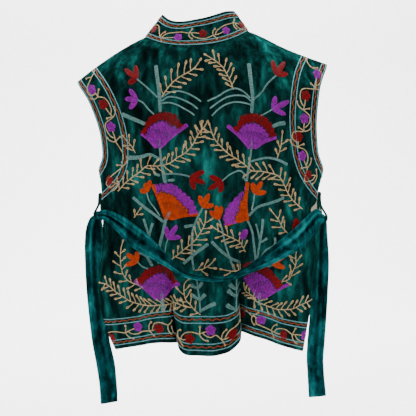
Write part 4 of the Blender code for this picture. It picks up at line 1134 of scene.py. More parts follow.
def velvet(name, streak, colours):
    """Crushed velvet: a short nap that lies this way and that, in streaks, with the corners'
    painted light and shade added. streak is how many of them go in a metre each way, and colours
    run from the nap's shadow to its glow."""
    skin = Finish(name, 0.9, 0.0)
    patches = skin.noise(1.0, 4.0, 0.58, 0.5, streak)
    mottle = skin.noise(95.0, 3.0, 0.6, 0.6, (1, 1, 0.55))
    drift = skin.noise(7.0, 1.0, 0.5, 0.4, (1, 1, 0.6))
    patches, mottle = skin.math("MULTIPLY", patches, PATCHES), skin.math("MULTIPLY", mottle, MOTTLE)
    lean = skin.math("ADD", patches, mottle)
    lean = skin.math("ADD", lean, skin.math("MULTIPLY", drift, DRIFT))
    # The corners' values add painted light and shade: painted shade in troughs and folds, painted
    # highlights on ridges and edges.
    placed = skin.node("Attribute", attribute_name="nap_and_shade").outputs["Fac"]
    lean = skin.math("ADD", lean, placed)
    colour = skin.ramp(lean, *zip(LEAN_STOPS, colours))
    fuzz = skin.noise(1500.0, 2.0, 0.7)
    colour = skin.shaded(0.55, colour, fuzz, (0.25, 120), (0.7, 255))
    rumple = skin.noise(1.0, 3.0, 0.5, 1.1, tuple(1.6 * s for s in streak))
    normal = skin.bump(rumple, 0.0030, 0.6)
    normal = skin.bump(fuzz, 0.0004, 0.5, normal)
    skin.shader.inputs["Sheen Tint"].default_value = (*linear(colours[-2]), 1)
    return skin.finish(colour, normal, sheen_weight=0.02, sheen_roughness=0.4)


def lining():
    """Plain cream cotton."""
    skin = Finish("lining_cotton", 0.85, 0.2)
    weave = skin.node(
        "TexWave", {"Vector": skin.place((1, 1, 1)), "Scale": 420.0, "Distortion": 0.6},
        wave_type="BANDS", bands_direction="Z",
    ).outputs["Fac"]
    shade = skin.noise(22.0, 3.0, 0.6, 0.3)
    colour = skin.ramp(shade, (0.3, (176, 166, 142)), (0.7, (206, 197, 176)))
    colour = skin.shaded(0.35, colour, weave, (0.0, 200), (1.0, 255))
    return skin.finish(colour, skin.bump(weave, 0.0003, 0.4, skin.bump(shade, 0.003, 0.3)))


LINK_SLANT, LINK_EDGE = 0.9, 7.0  # how far links slant to a row's sides, and how soon they show


def thread(name, dark, light):
    """Twisted thread in chain stitches, whose links run along U and whose width is V."""
    skin = Finish(name, 0.6, 0.06)
    split = skin.node("SeparateXYZ", {"Vector": skin.place((1, 1, 1), "UV")})
    aside = skin.math("ABSOLUTE", skin.math("SUBTRACT", split.outputs["Y"], 0.5))
    along = skin.math("ADD", split.outputs["X"], skin.math("MULTIPLY", aside, LINK_SLANT))
    links = skin.math("ABSOLUTE", skin.math("SINE", skin.math("MULTIPLY", along, math.pi)))
    beside = skin.math("MINIMUM", skin.math("MULTIPLY", aside, LINK_EDGE), 1.0)
    groove_shade = skin.math("MULTIPLY", beside, links)
    fuzz = skin.noise(900.0, 2.0, 0.6)
    drift = skin.noise(260.0, 2.0, 0.6)
    colour = skin.ramp(drift, (0.3, dark), (0.7, light))
    # Painted shade in the grooves between the links
    colour = skin.shaded(0.8, colour, groove_shade, (0.0, 140), (0.55, 255))
    colour = skin.shaded(0.35, colour, fuzz, (0.3, 170), (0.7, 255))
    normal = skin.bump(groove_shade, 0.0007, 0.8, skin.bump(fuzz, 0.0003, 0.5))
    return skin.finish(colour, normal)


# ---------------------------------------------------------------- embroidery
# A row of chain stitches is a line on a cloth, in millimetres, with a width. Rows are gathered by
# the cloth they lie on and their thread, and those of one cloth and thread become one mesh.
ROWS = {}
LINK = 3.2  # length of one chain stitch
OUT_OF_STEP = 0.37  # from one row's links to the next row's
STEP = LINK / 3
ROW = 2.1  # from one row of a filling to the next
SUNK, PROUD = 0.25, 1.05  # how far a row goes into the cloth and stands out of it
PROFILE = ((-0.5, 0.0), (-0.24, 1.0), (0.24, 1.0), (0.5, 0.0))  # a row's section
PLUMP, ENDS = 0.10, 0.6  # how much rows swell in each link, and their width at their ends
# The widths of rows: a border's straight and zigzag ones, a petal's loops and middle, a fan's rays,
# a flower's rings, a fern's rib, its leaves and the loops that end the leaves and the rib
BORDER_ROW, ZIGZAG_ROW, PETAL_ROW, PETAL_MIDDLE, FAN_ROW, FLOWER_ROW = 2.5, 2.6, 2.5, 2.4, 2.5, 2.6
RIB, LEAF, LOOP_ROW, LOOPED, TIP_LOOPED = 2.3, 2.1, 2.0, 3.2, 3.0
LEAF_LOOP, TIP_LOOP = 7.6, 0.8  # the length of a leaf's loop, and the rib's loop as a share of it
LOOP_FOOT, LOOP_GROWS = 0.55, 0.45  # a loop's breadth at its foot and what it gains on the way
FIRST_LEAVES = (0.45, 0.95)  # how many pitches up the rib each side's first leaf stands
LEAF_FOOT, LEAF_SWELL, LEAF_PEAK = 0.84, 0.20, 1.15  # how the leaves' size changes along the rib
ELBOW_ALONG, ELBOW_ASIDE, NECK_ASIDE = 0.35, 0.08, 0.04  # where a leaf bends, by its size
UNEVEN_SIZE, UNEVEN_ANGLE = 0.09, 0.10
TIP_BARE = 17  # the most a fern's rib goes on past its last leaf
PETAL, HEAD = 10.6, 0.52  # a bud petal's width, and the share of its length where its head starts
PETAL_FOOT, PETAL_GROWS = 0.58, 0.42  # a petal's breadth at its foot and what it gains to its head
PETAL_OVER, NESTED = 1.5, 0.9  # how far it goes past its tip, and the loops' step in rows there
LOBE, FOOT = 8.0, 5.5  # a fan's scallops, and half the width of its foot
LOBE_OUT, LOBE_IN, RIM_LOBE_OUT, RIM_LOBE_IN = 4.4, 2.6, 5.0, 3.0  # from the body's and rim's reach
LOBE_SHAPE, RIM_LOBE_SHAPE, RIM_LAG = 0.7, 0.6, 0.2  # how round they are, and the rim's shift
RIM_ENDS, RIM_LEAST, RIM_GAP = 0.04, 4, 0.9  # a rim's angle to the wings, least depth, gap inside
RIM_ROW = (2.1, 3.6)  # the narrowest and widest rows of a rim
FAN_WING = (5.0, 8.0)  # a wing's width at its foot and its tip
BLOSSOM_RINGS = ((1.0, 0.2), (0.74, 0.35), (0.48, 0.5), (0.22, 0.6))  # their sizes and lifts
BLOSSOM_LOBE, BLOSSOM_LOBES = 0.14, 5
CURL, CURL_ROW = 1.5, 0.8  # a sprig's end: its radius, and its row's width as a share of the vine's
AROUND_FLOWER = 3.0  # from a flower to the vine that bends round it
NODE_OFF, FLOWER_OFF = 2.0, 4.0  # how far nodes and flowers lie off a band's middle
ZIGZAG_PITCH, ZIGZAG_REACH, ZIGZAG_WOBBLE = 15.5, 1.7, 0.18
MARGIN = 1.7  # how far stitches stay from the cloth's edges


def spaced(points, step=STEP):
    """Points an even step apart on the smooth curve through a few."""
    points = np.array(points, float)
    knots = run_along(points)
    at = np.linspace(0, knots[-1], max(3, int(round(knots[-1] / step)) + 1))
    return per_axis(lambda values: smooth(at, knots, values), points)


def stitch(cloth, colour, line, width, lift=0.0):
    """Lays one row of stitches along evenly spaced points, where the cloth is."""
    line = np.asarray(line, float)
    width = np.broadcast_to(np.asarray(width, float), (len(line),))
    there = on_panel(cloth, line)
    breaks = np.flatnonzero(np.diff(np.concatenate([[0], there.astype(int), [0]])))
    for start, end in zip(breaks[::2], breaks[1::2]):
        if end - start >= 4:
            row = (line[start:end], width[start:end], lift)
            ROWS.setdefault((cloth, colour), []).append(row)


def sideways(line):
    """The way to the image's left of a line's travel, with across shown to the left."""
    ahead = np.gradient(line, axis=0)
    ahead = ahead / np.maximum(np.hypot(*ahead.T), 1e-9)[:, None]
    return np.stack([ahead[:, 1], -ahead[:, 0]], axis=-1)


def filled(cloth, colour, line, start_width, end_width):
    """Rows side by side along a line, the outer ones shorter, so its ends are round."""
    line = spaced(line)
    width = np.linspace(start_width, end_width, len(line))
    count = max(1, int(round(width.mean() / ROW)))
    aside = sideways(line)
    for j in range(count):
        off = (j - (count - 1) / 2) / count
        short = int(round((1 - math.sqrt(1 - (2 * off) ** 2)) * width.mean() / 2 / STEP))
        keep = slice(short, len(line) - short)
        row = line + aside * (off * width)[:, None]
        stitch(cloth, colour, row[keep], (width / count * 1.12 + 0.1)[keep], 0.1 * (count > 1))


def ring(cloth, colour, middle, radius, width, lobes=0, lobe=0.0, lift=0.0):
    """A closed row round a middle, with lobes that swell by a share of its radius."""
    turn = np.linspace(0, 2 * math.pi, max(9, int(round(2 * math.pi * radius / STEP)) + 1))
    reach = radius * (1 + lobe * np.cos(lobes * turn + middle[0]))
    line = np.stack([middle[0] + reach * np.cos(turn), middle[1] + reach * np.sin(turn)], axis=-1)
    stitch(cloth, colour, line, width, lift)


def drop(cloth, colour, start, way, size, broad):
    """A long loop of stitches from a leaf's end, open in its middle."""
    aside = np.array([way[1], -way[0]])
    turn = np.linspace(0, 2 * math.pi, max(9, int(round(2.3 * size / STEP)) + 1))
    along = size * (1 - np.cos(turn)) / 2
    half_width = broad / 2 * np.sin(turn) * (LOOP_FOOT + LOOP_GROWS * along / size)
    line = start + way * along[:, None] + aside * half_width[:, None]
    stitch(cloth, colour, line, LOOP_ROW, 0.1)


def fern(cloth, figure, place):
    """A rib with small leaves that end in loops, the two sides out of step."""
    rib = spaced([place(point) for point in figure.rib])
    rib = rib[: -int(LEAF_LOOP * 0.7 / STEP)]
    stitch(cloth, "beige", rib, RIB)
    aside = sideways(rib)
    count = len(rib)
    pitch = figure.pitch / STEP
    bare = min(TIP_BARE, figure.pitch * 1.1) / STEP
    for side, reach, first in zip((1, -1), (figure.one_side, figure.other_side), FIRST_LEAVES):
        at = first * pitch
        while at < count - bare:
            i = int(at)
            swell_here = math.sin(math.pi * min(at / count * LEAF_PEAK, 1))
            size = reach * (LEAF_FOOT + LEAF_SWELL * swell_here)
            size *= 1 + UNEVEN_SIZE * math.sin(at * 1.7 + side)
            ahead = np.array([-aside[i][1], aside[i][0]])
            angle = math.radians(figure.angle * (1 + UNEVEN_ANGLE * math.sin(at * 2.3 + 1)))
            way = ahead * math.cos(angle) + side * aside[i] * math.sin(angle)
            elbow = rib[i] + way * size * ELBOW_ALONG + side * aside[i] * ELBOW_ASIDE * size
            neck = rib[i] + way * (size - LEAF_LOOP + 2) + side * aside[i] * NECK_ASIDE * size
            stitch(cloth, "beige", spaced([rib[i], elbow, neck]), LEAF)
            drop(cloth, "beige", neck, unit(rib[i] + way * (size + 2) - neck), LEAF_LOOP, LOOPED)
            at += pitch
    drop(cloth, "beige", rib[-1], unit(rib[-1] - rib[-4]), LEAF_LOOP * TIP_LOOP, TIP_LOOPED)


def petal(cloth, colour, foot, tip, broad):
    """Nested loops of stitches from a foot round a tip, with a row down the middle."""
    foot, tip = np.array(foot, float), np.array(tip, float)
    size = np.hypot(*(tip - foot)) + PETAL_OVER
    way = unit(tip - foot)
    aside = np.array([way[1], -way[0]])
    share = np.linspace(0, 1, max(6, int(round(size / STEP))))
    head = np.sqrt(np.clip(1 - ((share - HEAD) / (1 - HEAD)) ** 2, 0, 1))
    profile = np.where(share < HEAD, PETAL_FOOT + PETAL_GROWS * ease(share / HEAD), head)
    loops = int(round(broad / ROW / 2))
    for j in range(loops):
        off = (broad - ROW) / 2 * (1 - j / loops)
        end = share * (size - j * ROW * NESTED)
        run, swell_out = foot + way * end[:, None], aside * (off * profile)[:, None]
        outline = np.concatenate([run + swell_out, (run - swell_out)[::-1]])
        stitch(cloth, colour, outline, PETAL_ROW, 0.1 + 0.1 * j)
    line = foot + way * (share * (size - loops * ROW * NESTED))[:, None]
    stitch(cloth, colour, line, PETAL_MIDDLE, 0.1)


def fan(cloth, figure, place, flip=1):
    """Rays of stitches from a blunt foot, with a scalloped rim of another thread, between wings."""
    foot = np.array(place(figure.foot), float)
    angles = np.radians(column(figure.rays, "angle") * flip)
    order = np.argsort(angles)
    angles = angles[order]
    body, rim = (column(figure.rays, key).astype(float)[order] for key in ("body", "rim"))
    tips = body[[0, -1]].copy()
    body[[0, -1]] = np.minimum(body[[0, -1]] * 0.8, body[[1, -2]] * 0.88)
    spread = angles[-1] - angles[0]
    count = int(round(spread * body.mean() / ROW))
    at = np.linspace(angles[0], angles[-1], count + 1)
    reach = smooth(at, angles, body)
    edge = smooth(at, angles[1:-1], rim[1:-1])
    arc = np.concatenate([[0], np.cumsum(np.diff(at) * reach[1:])])
    lobes = np.abs(np.sin(arc / LOBE * math.pi)) ** LOBE_SHAPE
    rim_lobes = np.abs(np.sin((arc / LOBE + RIM_LAG) * math.pi)) ** RIM_LOBE_SHAPE
    between = (at > angles[0] + RIM_ENDS) & (at < angles[-1] - RIM_ENDS)
    rimmed = between & (edge > reach + RIM_LEAST)
    aside = (2 * at - angles[0] - angles[-1]) / spread * FOOT
    start = foot + np.stack([aside, 0 * aside], axis=-1)
    ways = np.stack([np.sin(at), np.cos(at)], axis=-1)
    end = foot + ways * (reach + LOBE_OUT * lobes - LOBE_IN)[:, None]
    far = foot + ways * (edge + RIM_LOBE_OUT * rim_lobes - RIM_LOBE_IN)[:, None]
    for i in range(count + 1):
        # Every second row starts where there is room for it, every fourth one nearer, and so on.
        skips = (i & -i).bit_length() - 1 if i else 8
        span = np.hypot(*(end[i] - start[i]))
        way = (end[i] - start[i]) / span
        gap = 2 * FOOT / count
        near = (ROW * 0.8 / 2**skips - gap) / max(spread / count - gap / span, 1e-3)
        away = np.arange(max(near, 0), span, STEP)
        if len(away) > 4:
            lift = 0.1 + 0.3 * lobes[i]
            stitch(cloth, figure.thread, start[i] + way * away[:, None], FAN_ROW, lift)
        if rimmed[i]:
            away = np.arange(span + RIM_GAP, np.hypot(*(far[i] - start[i])), STEP)
            broad = (away / span * ROW * 1.1).clip(*RIM_ROW)
            if len(away) > 4:
                stitch(cloth, figure.rim_thread, start[i] + way * away[:, None], broad, 0.35)
    for tip_angle, tip_reach, side in zip(angles[[0, -1]], tips, (-1, 1)):
        way = np.array([math.sin(tip_angle), math.cos(tip_angle)])
        tip, heel = foot + way * (tip_reach + 1.0), foot + np.array([side * (FOOT - 1), 0])
        inside = np.array([-way[1], way[0]]) * side * 2.5
        filled(cloth, figure.thread, [heel, (heel + tip) / 2 + inside, tip], *FAN_WING)


def blossom(cloth, colour, middle, radius):
    """A small flower of nested rings."""
    for share, lift in BLOSSOM_RINGS:
        reach, lobe = (radius - 1.2) * share, BLOSSOM_LOBE * share
        ring(cloth, colour, middle, reach, FLOWER_ROW, BLOSSOM_LOBES, lobe, lift)


def motifs(cloth, place, keep, flip=1):
    """The field's figures, each point moved by place, those kept by keep."""
    for figure in STEMS:
        if keep(figure.line):
            line = [place(point) for point in figure.line]
            filled(cloth, "mist", line, figure.start_width, figure.end_width)
    for figure in FERNS:
        if keep(figure.rib):
            fern(cloth, figure, place)
    for figure in FANS:
        if keep([figure.foot]):
            fan(cloth, figure, place, flip)
    for figure in BUDS:
        if keep([figure.foot]):
            for tip in figure.tips:
                petal(cloth, figure.thread, place(figure.foot), place(tip), PETAL)


# Panel edges in millimetres, for keeping stitches on the cloth and for borders that follow them
EDGES, TOPS = {}, {}
for half_name in OUTWARD:
    places = np.linspace(-0.30, 0.30, 301)
    TOPS[half_name] = (places * 1000, top_level(half_name, places) * 1000)
    for edge_side in (LEFT, RIGHT):
        edge_levels, _, edge_places = panel_edge(half_name, edge_side)
        EDGES[half_name, edge_side] = (edge_levels * 1000, edge_places * 1000)


def half_of(cloth):
    """The half that a cloth belongs to."""
    return "back" if cloth == "back" else "front"


def on_panel(cloth, line):
    """Which points of a line lie on the cloth, clear of its edges."""
    if cloth == "collar":
        return (line[:, 1] > MARGIN) & (line[:, 1] < np.interp(line[:, 0], *COLLAR_TOP) - MARGIN)
    half = half_of(cloth)
    across, level = line.T
    top = np.interp(across, *TOPS[half])
    there = (level < top - MARGIN) & (level > HEM_LEVEL * 1000 + MARGIN)
    for side in (LEFT, RIGHT):
        levels, places = EDGES[half, side]
        there &= side * across < side * np.interp(level, levels, places) - MARGIN
    if cloth != "back":
        side = LEFT if cloth == "front_left" else RIGHT
        there &= side * across > front_gap(level / 1000) * 1000 + MARGIN
    return there


def zigzag(length):
    """Stations along a zigzag and its swing at each."""
    turns = int(length / (ZIGZAG_PITCH / 2))
    at = np.arange(turns * 4 + 1) * ZIGZAG_PITCH / 8
    swing = np.abs((at / ZIGZAG_PITCH * 2) % 2 - 1) * 2 - 1
    wobble = 1 + ZIGZAG_WOBBLE * np.sin(at * 0.9)
    return at, swing * ZIGZAG_REACH * wobble


def border(cloth, place, length, plain, zigzags):
    """Straight and zigzag rows along a band, at distances from its edge. place gives the points of
    the cloth that are a length along the band and a distance in."""
    along = np.arange(0, length, STEP)
    for distance in plain:
        stitch(cloth, "blue", place(along, distance + 0 * along), BORDER_ROW)
    for distance in zigzags:
        at, swing = zigzag(length)
        fine = np.arange(0, at[-1], STEP)
        stitch(cloth, "rust", place(fine, distance + np.interp(fine, at, swing)), ZIGZAG_ROW)


Flower = namedtuple("Flower", "thread node middle bend")
BACK_VINES = (
    rows(
        Flower, ("red", (283, -620), (234, -613), 1), ("purple", (197, -605), (167, -596), -1),
        ("red", (141, -608), (120, -604), 1), (None, (101, -596), (80, -604), -1),
        ("red", (60, -609), (35, -603), 1), ("purple", (15, -593), (-8, -585), -1),
        ("red", (-28, -606), (-51, -606), 1), ("red", (-78, -592), (-112, -588), 1),
        ("purple", (-140, -588), (-158, -593), -1), ("red", (-181, -611), (-213, -613), 1),
        ("purple", (-234, -607), (-266, -604), -1), (None, (-290, -606), (-310, -606), 1),
    ),
    rows(
        Flower, ("red", (190, -303), (213, -296), 1), (None, (176, -264), (188, -240), -1),
        ("purple", (187, -217), (193, -188), 1), ("red", (185, -169), (204, -145), -1),
        ("purple", (214, -130), (227, -116), 1), (None, (225, -92), (236, -78), -1),
    ),
    rows(
        Flower, ("red", (-229, -288), (-200, -284), 1), ("purple", (-198, -269), (-185, -245), -1),
        ("red", (-176, -227), (-179, -207), 1), ("purple", (-193, -197), (-196, -172), -1),
        ("red", (-195, -155), (-205, -128), 1), ("purple", (-231, -115), (-240, -86), -1),
        (None, (-228, -73), (-238, -56), 1),
    ),
)
COLLAR_VINE = rows(
    Flower, ("red", (124, 22), (101, 23), 1), ("purple", (74, 12), (39, 19), 1),
    ("red", (19, 28), (-8, 25), -1), ("purple", (-26, 18), (-54, 21), 1),
    ("red", (-76, 30), (-97, 18), -1),
)
# The two curls at each node of a vine, along its stalk and aside
SPRIGS = (((0, 0), (2, 8), (6, 14), (11, 17)), ((0, 0), (4, -6), (7, -13)))
# How high the hem's band is at places across the back, as a share of its height at the middle
HEM_SCALE = ((-330, 0.72), (-205, 0.72), (-60, 0.95), (0, 1), (60, 0.97), (160, 0.79), (330, 0.76))
# The borders' rows, by their distance from the edge, and the line that the armholes' flowers follow
HEM_LINES, HEM_ZIGZAGS = (11, 24, 65, 78), (17.5, 72)
ARM_LINES, ARM_ZIGZAGS, ARM_MIDDLE = (4, 16, 53, 64), (10, 58.5), 34
HALF_HEM, FRONT_EDGE_LENGTH = 330, 660
FLOWER_PITCH, FLOWERS_IN = 46, 44  # along the fronts' borders, and in from the edge
# Of the back's figures the fronts repeat those that lie between these places, moved and narrowed.
KEPT_FROM, KEPT_TO, KEPT_MIDDLE, FRONT_MIDDLE, NARROWED = 58, 190, 60, 112, 0.62
COLLAR_BAND_UP, COLLAR_BAND_DOWN = ((3.2, 11), (7,)), ((6.5, 15.5), (11,))  # from its seam and top
COLLAR_PITCH, COLLAR_FLOWERS_UP = 50, 22
COLLAR_VINE_SIZES = (0.70, 7.8, 2.1)  # of its sprigs, its flowers and its rows
ARM_SMOOTHING = 20  # over how many millimetres each way the armhole's direction is evened out


def vine(cloth, flowers, size=1.0, radius=9.8, thick=2.4):
    """A vine from node to node. At each a stalk carries a flower between two sprigs, and the vine
    bends round the flower, up (1) or down (-1) where the vine runs to the right."""
    nodes = [np.array(flower.node, float) for flower in flowers]
    for i, flower in enumerate(flowers):
        node, middle = nodes[i], np.array(flower.middle, float)
        way = unit(middle - node)
        aside = np.array([way[1], -way[0]]) * flower.bend
        far = np.hypot(*(middle - node))
        for sprig in SPRIGS:
            line = spaced([node + (way * u + aside * v) * size for u, v in sprig])
            stitch(cloth, "beige", line, thick)
            ring(cloth, "beige", line[-1], CURL, thick * CURL_ROW)
        if flower.thread:
            stalk = [node, node + way * far * 0.35 - aside, middle - way * radius * 0.8]
            stitch(cloth, "beige", spaced(stalk), thick)
            blossom(cloth, flower.thread, middle, radius)
        if i + 1 < len(flowers):
            after = nodes[i + 1]
            clear = aside * (radius + AROUND_FLOWER)
            bend = [
                node + way * 7 * size - aside, node + way * 10 * size + aside * 5 * size,
                middle + clear - way * radius * 0.5, middle + clear + way * radius * 0.5, after,
            ]
            stitch(cloth, "beige", spaced(bend), thick)


def hem_band(start):
    """Places along the hem from a place across, at distances up from it."""
    at, scale = np.array(HEM_SCALE).T

    def place(along, distance):
        across = start + np.asarray(along, float)
        level = HEM_LEVEL * 1000 + distance * np.interp(across, at, scale)
        return np.stack([across, level], axis=-1)

    return place


def arm_band(half, side):
    """Places along an armhole's edge from the shoulder down and round under the arm."""
    levels, places = EDGES[half, side]
    keep = levels >= UNDERARM_LEVEL * 1000 - 1e-6
    edge = np.stack([places[keep], levels[keep]], axis=-1)[::-1]
    before, after = edge[:1] + (edge[0] - edge[4]) * 2, edge[-1:] + [[side * 60, 0]]
    edge = spaced(np.concatenate([before, edge[::3], after]), 1.0)
    run = run_along(edge)
    aside = sideways(edge)
    inward = aside if (aside[len(aside) // 3, 0] * side) < 0 else -aside
    kernel = np.hanning(2 * ARM_SMOOTHING + 1)
    padded = np.pad(inward, ((ARM_SMOOTHING, ARM_SMOOTHING), (0, 0)), "edge")
    inward = unit(per_axis(lambda v: np.convolve(v, kernel / kernel.sum(), "valid"), padded))

    def place(along, distance):
        at = per_axis(lambda v: np.interp(along, run, v), edge)
        way = per_axis(lambda v: np.interp(along, run, v), inward)
        return at + way * np.asarray(distance, float)[..., None]

    return place, run[-1]


def arm_border(cloth, half, side):
    place, length = arm_band(half, side)
    border(cloth, place, length, ARM_LINES, ARM_ZIGZAGS)
    return place, length


def embroider_back():
    border("back", hem_band(-HALF_HEM), 2 * HALF_HEM, HEM_LINES, HEM_ZIGZAGS)
    for side in (LEFT, RIGHT):
        arm_border("back", "back", side)
    for flowers in BACK_VINES:
        vine("back", flowers)
    motifs("back", lambda point: point, lambda line: True)


def row_of_flowers(place, first, last, pitch, middle):
    """Flowers of both threads by turns along a band."""
    count = int((last - first) / pitch)
    flowers = []
    for i in range(count):
        bend = (-1) ** i
        at = first + i * pitch
        node = place(np.array(at), np.array(middle + NODE_OFF * bend))
        flower = place(np.array(at + pitch * 0.5), np.array(middle - FLOWER_OFF * bend))
        flowers.append(Flower(("red", "purple")[i % 2], node, flower, bend))
    return flowers


def embroider_front(cloth, side):
    """The fronts' borders and a narrower run of the back's left figures, which the photo hides."""
    def front_line(along, distance):
        """Up the front edge from the hem."""
        level = HEM_LEVEL * 1000 + np.asarray(along, float)
        return np.stack([side * (front_gap(level / 1000) * 1000 + distance), level], axis=-1)

    def hem(along, distance):
        """Along the hem from the front edge to the side, mitred into the front border."""
        across = side * (12 + np.asarray(along, float))
        return np.stack([across, HEM_LEVEL * 1000 + distance], axis=-1)

    for distances, colour in ((HEM_LINES, "blue"), (HEM_ZIGZAGS, "rust")):
        for distance in distances:
            for place, length in ((front_line, FRONT_EDGE_LENGTH), (hem, HALF_HEM)):
                along = np.arange(distance, length, STEP)
                swing = 0 * along
                if colour == "rust":
                    at, swings = zigzag(length)
                    swing = np.interp(along, at, swings)
                stitch(cloth, colour, place(along, distance + swing), BORDER_ROW)
    arm, length = arm_border(cloth, "front", side)
    for place, first, last, middle in (
        (front_line, 80, 560, FLOWERS_IN), (hem, 80, 300, FLOWERS_IN), (arm, 12, length, ARM_MIDDLE)
    ):
        vine(cloth, row_of_flowers(place, first, last, FLOWER_PITCH, middle))

    def place(point):
        return (side * (FRONT_MIDDLE + (point[0] - KEPT_MIDDLE) * NARROWED), point[1])

    def keep(line):
        return all(KEPT_FROM < across < KEPT_TO for across, _ in line)

    motifs(cloth, place, keep, side)


def embroider_collar():
    low, high = COLLAR_TOP[0].min(), COLLAR_TOP[0].max()

    def up(along, distance):
        return np.stack([low + along, distance + 0 * along], axis=-1)

    def down(along, distance):
        return np.stack([low + along, np.interp(low + along, *COLLAR_TOP) - distance], axis=-1)

    border("collar", up, high - low, *COLLAR_BAND_UP)
    border("collar", down, high - low, *COLLAR_BAND_DOWN)
    left, right = COLLAR_VINE[0].node[0], COLLAR_VINE[-1].node[0]
    row = (COLLAR_PITCH, COLLAR_FLOWERS_UP)
    before = row_of_flowers(lambda u, v: np.array([left - u, v]), left - high + 14, -40, *row)
    after = row_of_flowers(lambda u, v: np.array([right - u, v]), COLLAR_PITCH, right - low, *row)
    vine("collar", before + list(COLLAR_VINE) + after, *COLLAR_VINE_SIZES)


def cloth_point(cloth, across, level):
    """The cloth's outer face and the way out of it, at places in millimetres."""
    if cloth == "collar":
        around = BAND.around[::-1]
        station = np.interp(across, around, np.arange(len(around))[::-1])
        row = level / np.interp(across, *COLLAR_TOP) * COLLAR_ROWS
        point = per_axis(lambda table: look_up(table, station, row), BAND.points)
        normal = unit(per_axis(lambda table: look_up(table, station, row), BAND.normals))
        return point + normal * COLLAR_WALL / 2, normal
    half = half_of(cloth)
    across, level = across / 1000, level / 1000
    normal = drape_normal(half, across, level)
    lift = rise(half, across, level) + WALL / 2
    return drape(half, across, level) + normal * lift[..., None], normal


def sew(cloth, colour, sewn, material):
    """One mesh from all the rows of one thread on one cloth."""
    lines, widths, lifts = zip(*sewn)
    sizes = [len(line) for line in lines]
    lines, widths, lifts = np.concatenate(lines), np.concatenate(widths), np.repeat(lifts, sizes)
    points, normals = cloth_point(cloth, lines[:, 0], lines[:, 1])
    starts = np.concatenate([[0], np.cumsum(sizes)])
    first, last = starts[:-1], starts[1:] - 1
    ahead = np.concatenate([np.gradient(row, axis=0) for row in np.split(points, first[1:])])
    aside = unit(np.cross(normals, ahead))
    within = np.concatenate([np.arange(size) for size in sizes])
    links = within * STEP / LINK + OUT_OF_STEP * np.repeat(np.arange(len(sizes)), sizes)
    plump = 1 - PLUMP + PLUMP * np.cos(2 * math.pi * links)
    taper = np.ones(len(lines))
    taper[first] = taper[last] = ENDS
    across = widths * plump * taper / 1000
    high = (PROUD * (0.5 + 0.5 * plump) * taper + lifts) / 1000
    corners = [
        points
        + aside * (across * off)[:, None]
        + normals * (high * up - SUNK / 1000 * (1 - up))[:, None]
        for off, up in PROFILE
    ]
    number = np.arange(len(lines) * 4).reshape(-1, 4)
    now = np.delete(number, last, axis=0)
    ends = np.concatenate([number[first], number[last][:, ::-1]])
    faces = np.concatenate([quads(now, now + 4), ends])
    mesh = bpy.data.meshes.new("stitches")
    mesh.from_pydata(np.stack(corners, axis=1).reshape(-1, 3).tolist(), [], faces.tolist())
    uv = mesh.uv_layers.new(name="stitch")
    width_shares = np.tile([off + 0.5 for off, _ in PROFILE], len(lines))
    place = np.stack([np.repeat(links, 4), width_shares], axis=-1)
    uv.data.foreach_set("uv", place[faces.reshape(-1)].reshape(-1).astype(np.float32))
    mesh.materials.append(material)
    mesh.shade_smooth()
    piece = on_stage(f"stitches_{cloth}_{colour}", mesh)
    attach(piece, "root")
    return piece


# ---------------------------------------------------------------- the whole garment
VELVETS = [
    velvet(
        "outer_velvet", (46, 46, 13),
        ((2, 9, 8), (3, 20, 19), (4, 36, 34), (6, 60, 56), (16, 88, 83)),
    ),
    lining(),
    # A lighter copy of the velvet for the turned edges and the fronts' facings: a painted highlight
    # where the nap rolls over the edges.
    velvet(
        "highlit_velvet", (60, 60, 60),
        ((2, 10, 10), (3, 24, 23), (6, 44, 41), (12, 68, 64), (24, 96, 92)),
    ),
]
SASH = [
    velvet(
        "sash_velvet", (42, 40, 16),
        ((1, 8, 9), (2, 24, 26), (3, 46, 49), (8, 74, 77), (20, 104, 104)),
    ),
]
THREADS = {
    "red": thread("thread_red", (80, 1, 5), (119, 2, 9)),
    "purple": thread("thread_purple", (92, 2, 104), (134, 8, 146)),
    "orange": thread("thread_orange", (136, 38, 6), (176, 58, 6)),
    "beige": thread("thread_beige", (140, 117, 83), (184, 158, 116)),
    "mist": thread("thread_mist", (66, 98, 95), (92, 130, 126)),
    "blue": thread("thread_blue", (72, 116, 120), (96, 146, 150)),
    "rust": thread("thread_rust", (96, 36, 12), (132, 56, 18)),
}

PANELS = {(half, side): half_panel(half, side) for half in OUTWARD for side in (LEFT, RIGHT)}
back, front_left, front_right = make_panels(PANELS, VELVETS)
BAND = collar_band(PANELS)
COLLAR_TOP = (BAND.around[::-1], BAND.up[::-1])
collar = cloth_wall("collar_cloth", BAND.points, BAND.normals, COLLAR_WALL, VELVETS)
sash_back, sash_line = make_sash_back(SASH)
left_tail, left_line = make_tail("sash_left_tail_cloth", LEFT, LEFT_TAIL, SASH, LEFT_WRINKLES)
right_tail, right_line = make_tail("sash_right_tail_cloth", RIGHT, RIGHT_TAIL, SASH, RIGHT_WRINKLES)
loop_left = make_loop("loop_left_cloth", LEFT, VELVETS[:1])
loop_right = make_loop("loop_right_cloth", RIGHT, VELVETS[:1])

embroider_back()
embroider_front("front_left", LEFT)
embroider_front("front_right", RIGHT)
embroider_collar()
SEWN = {}
for (cloth, colour), sewn in ROWS.items():
    SEWN.setdefault(cloth, []).append(sew(cloth, colour, sewn, THREADS[colour]))

for piece, node in (
    (back, "back"), (front_left, "front_left"), (front_right, "front_right"), (collar, "collar"),
    (sash_back, "sash_back"), (left_tail, "sash_left_tail"), (right_tail, "sash_right_tail"),
    (loop_left, "loop_left"), (loop_right, "loop_right"),
):
    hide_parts(node)

run_of(sash_line)
run_of(left_line)
run_of(right_line)


# ---------------------------------------------------------------- camera, light and backdrop
def aimed(name, data, place, aim):
    """An object at a place, turned to look at another."""
    thing = on_stage(name, data)
    thing.location = place
    thing.rotation_euler = (Vector(aim) - Vector(place)).to_track_quat("-Z", "Y").to_euler()
    return thing


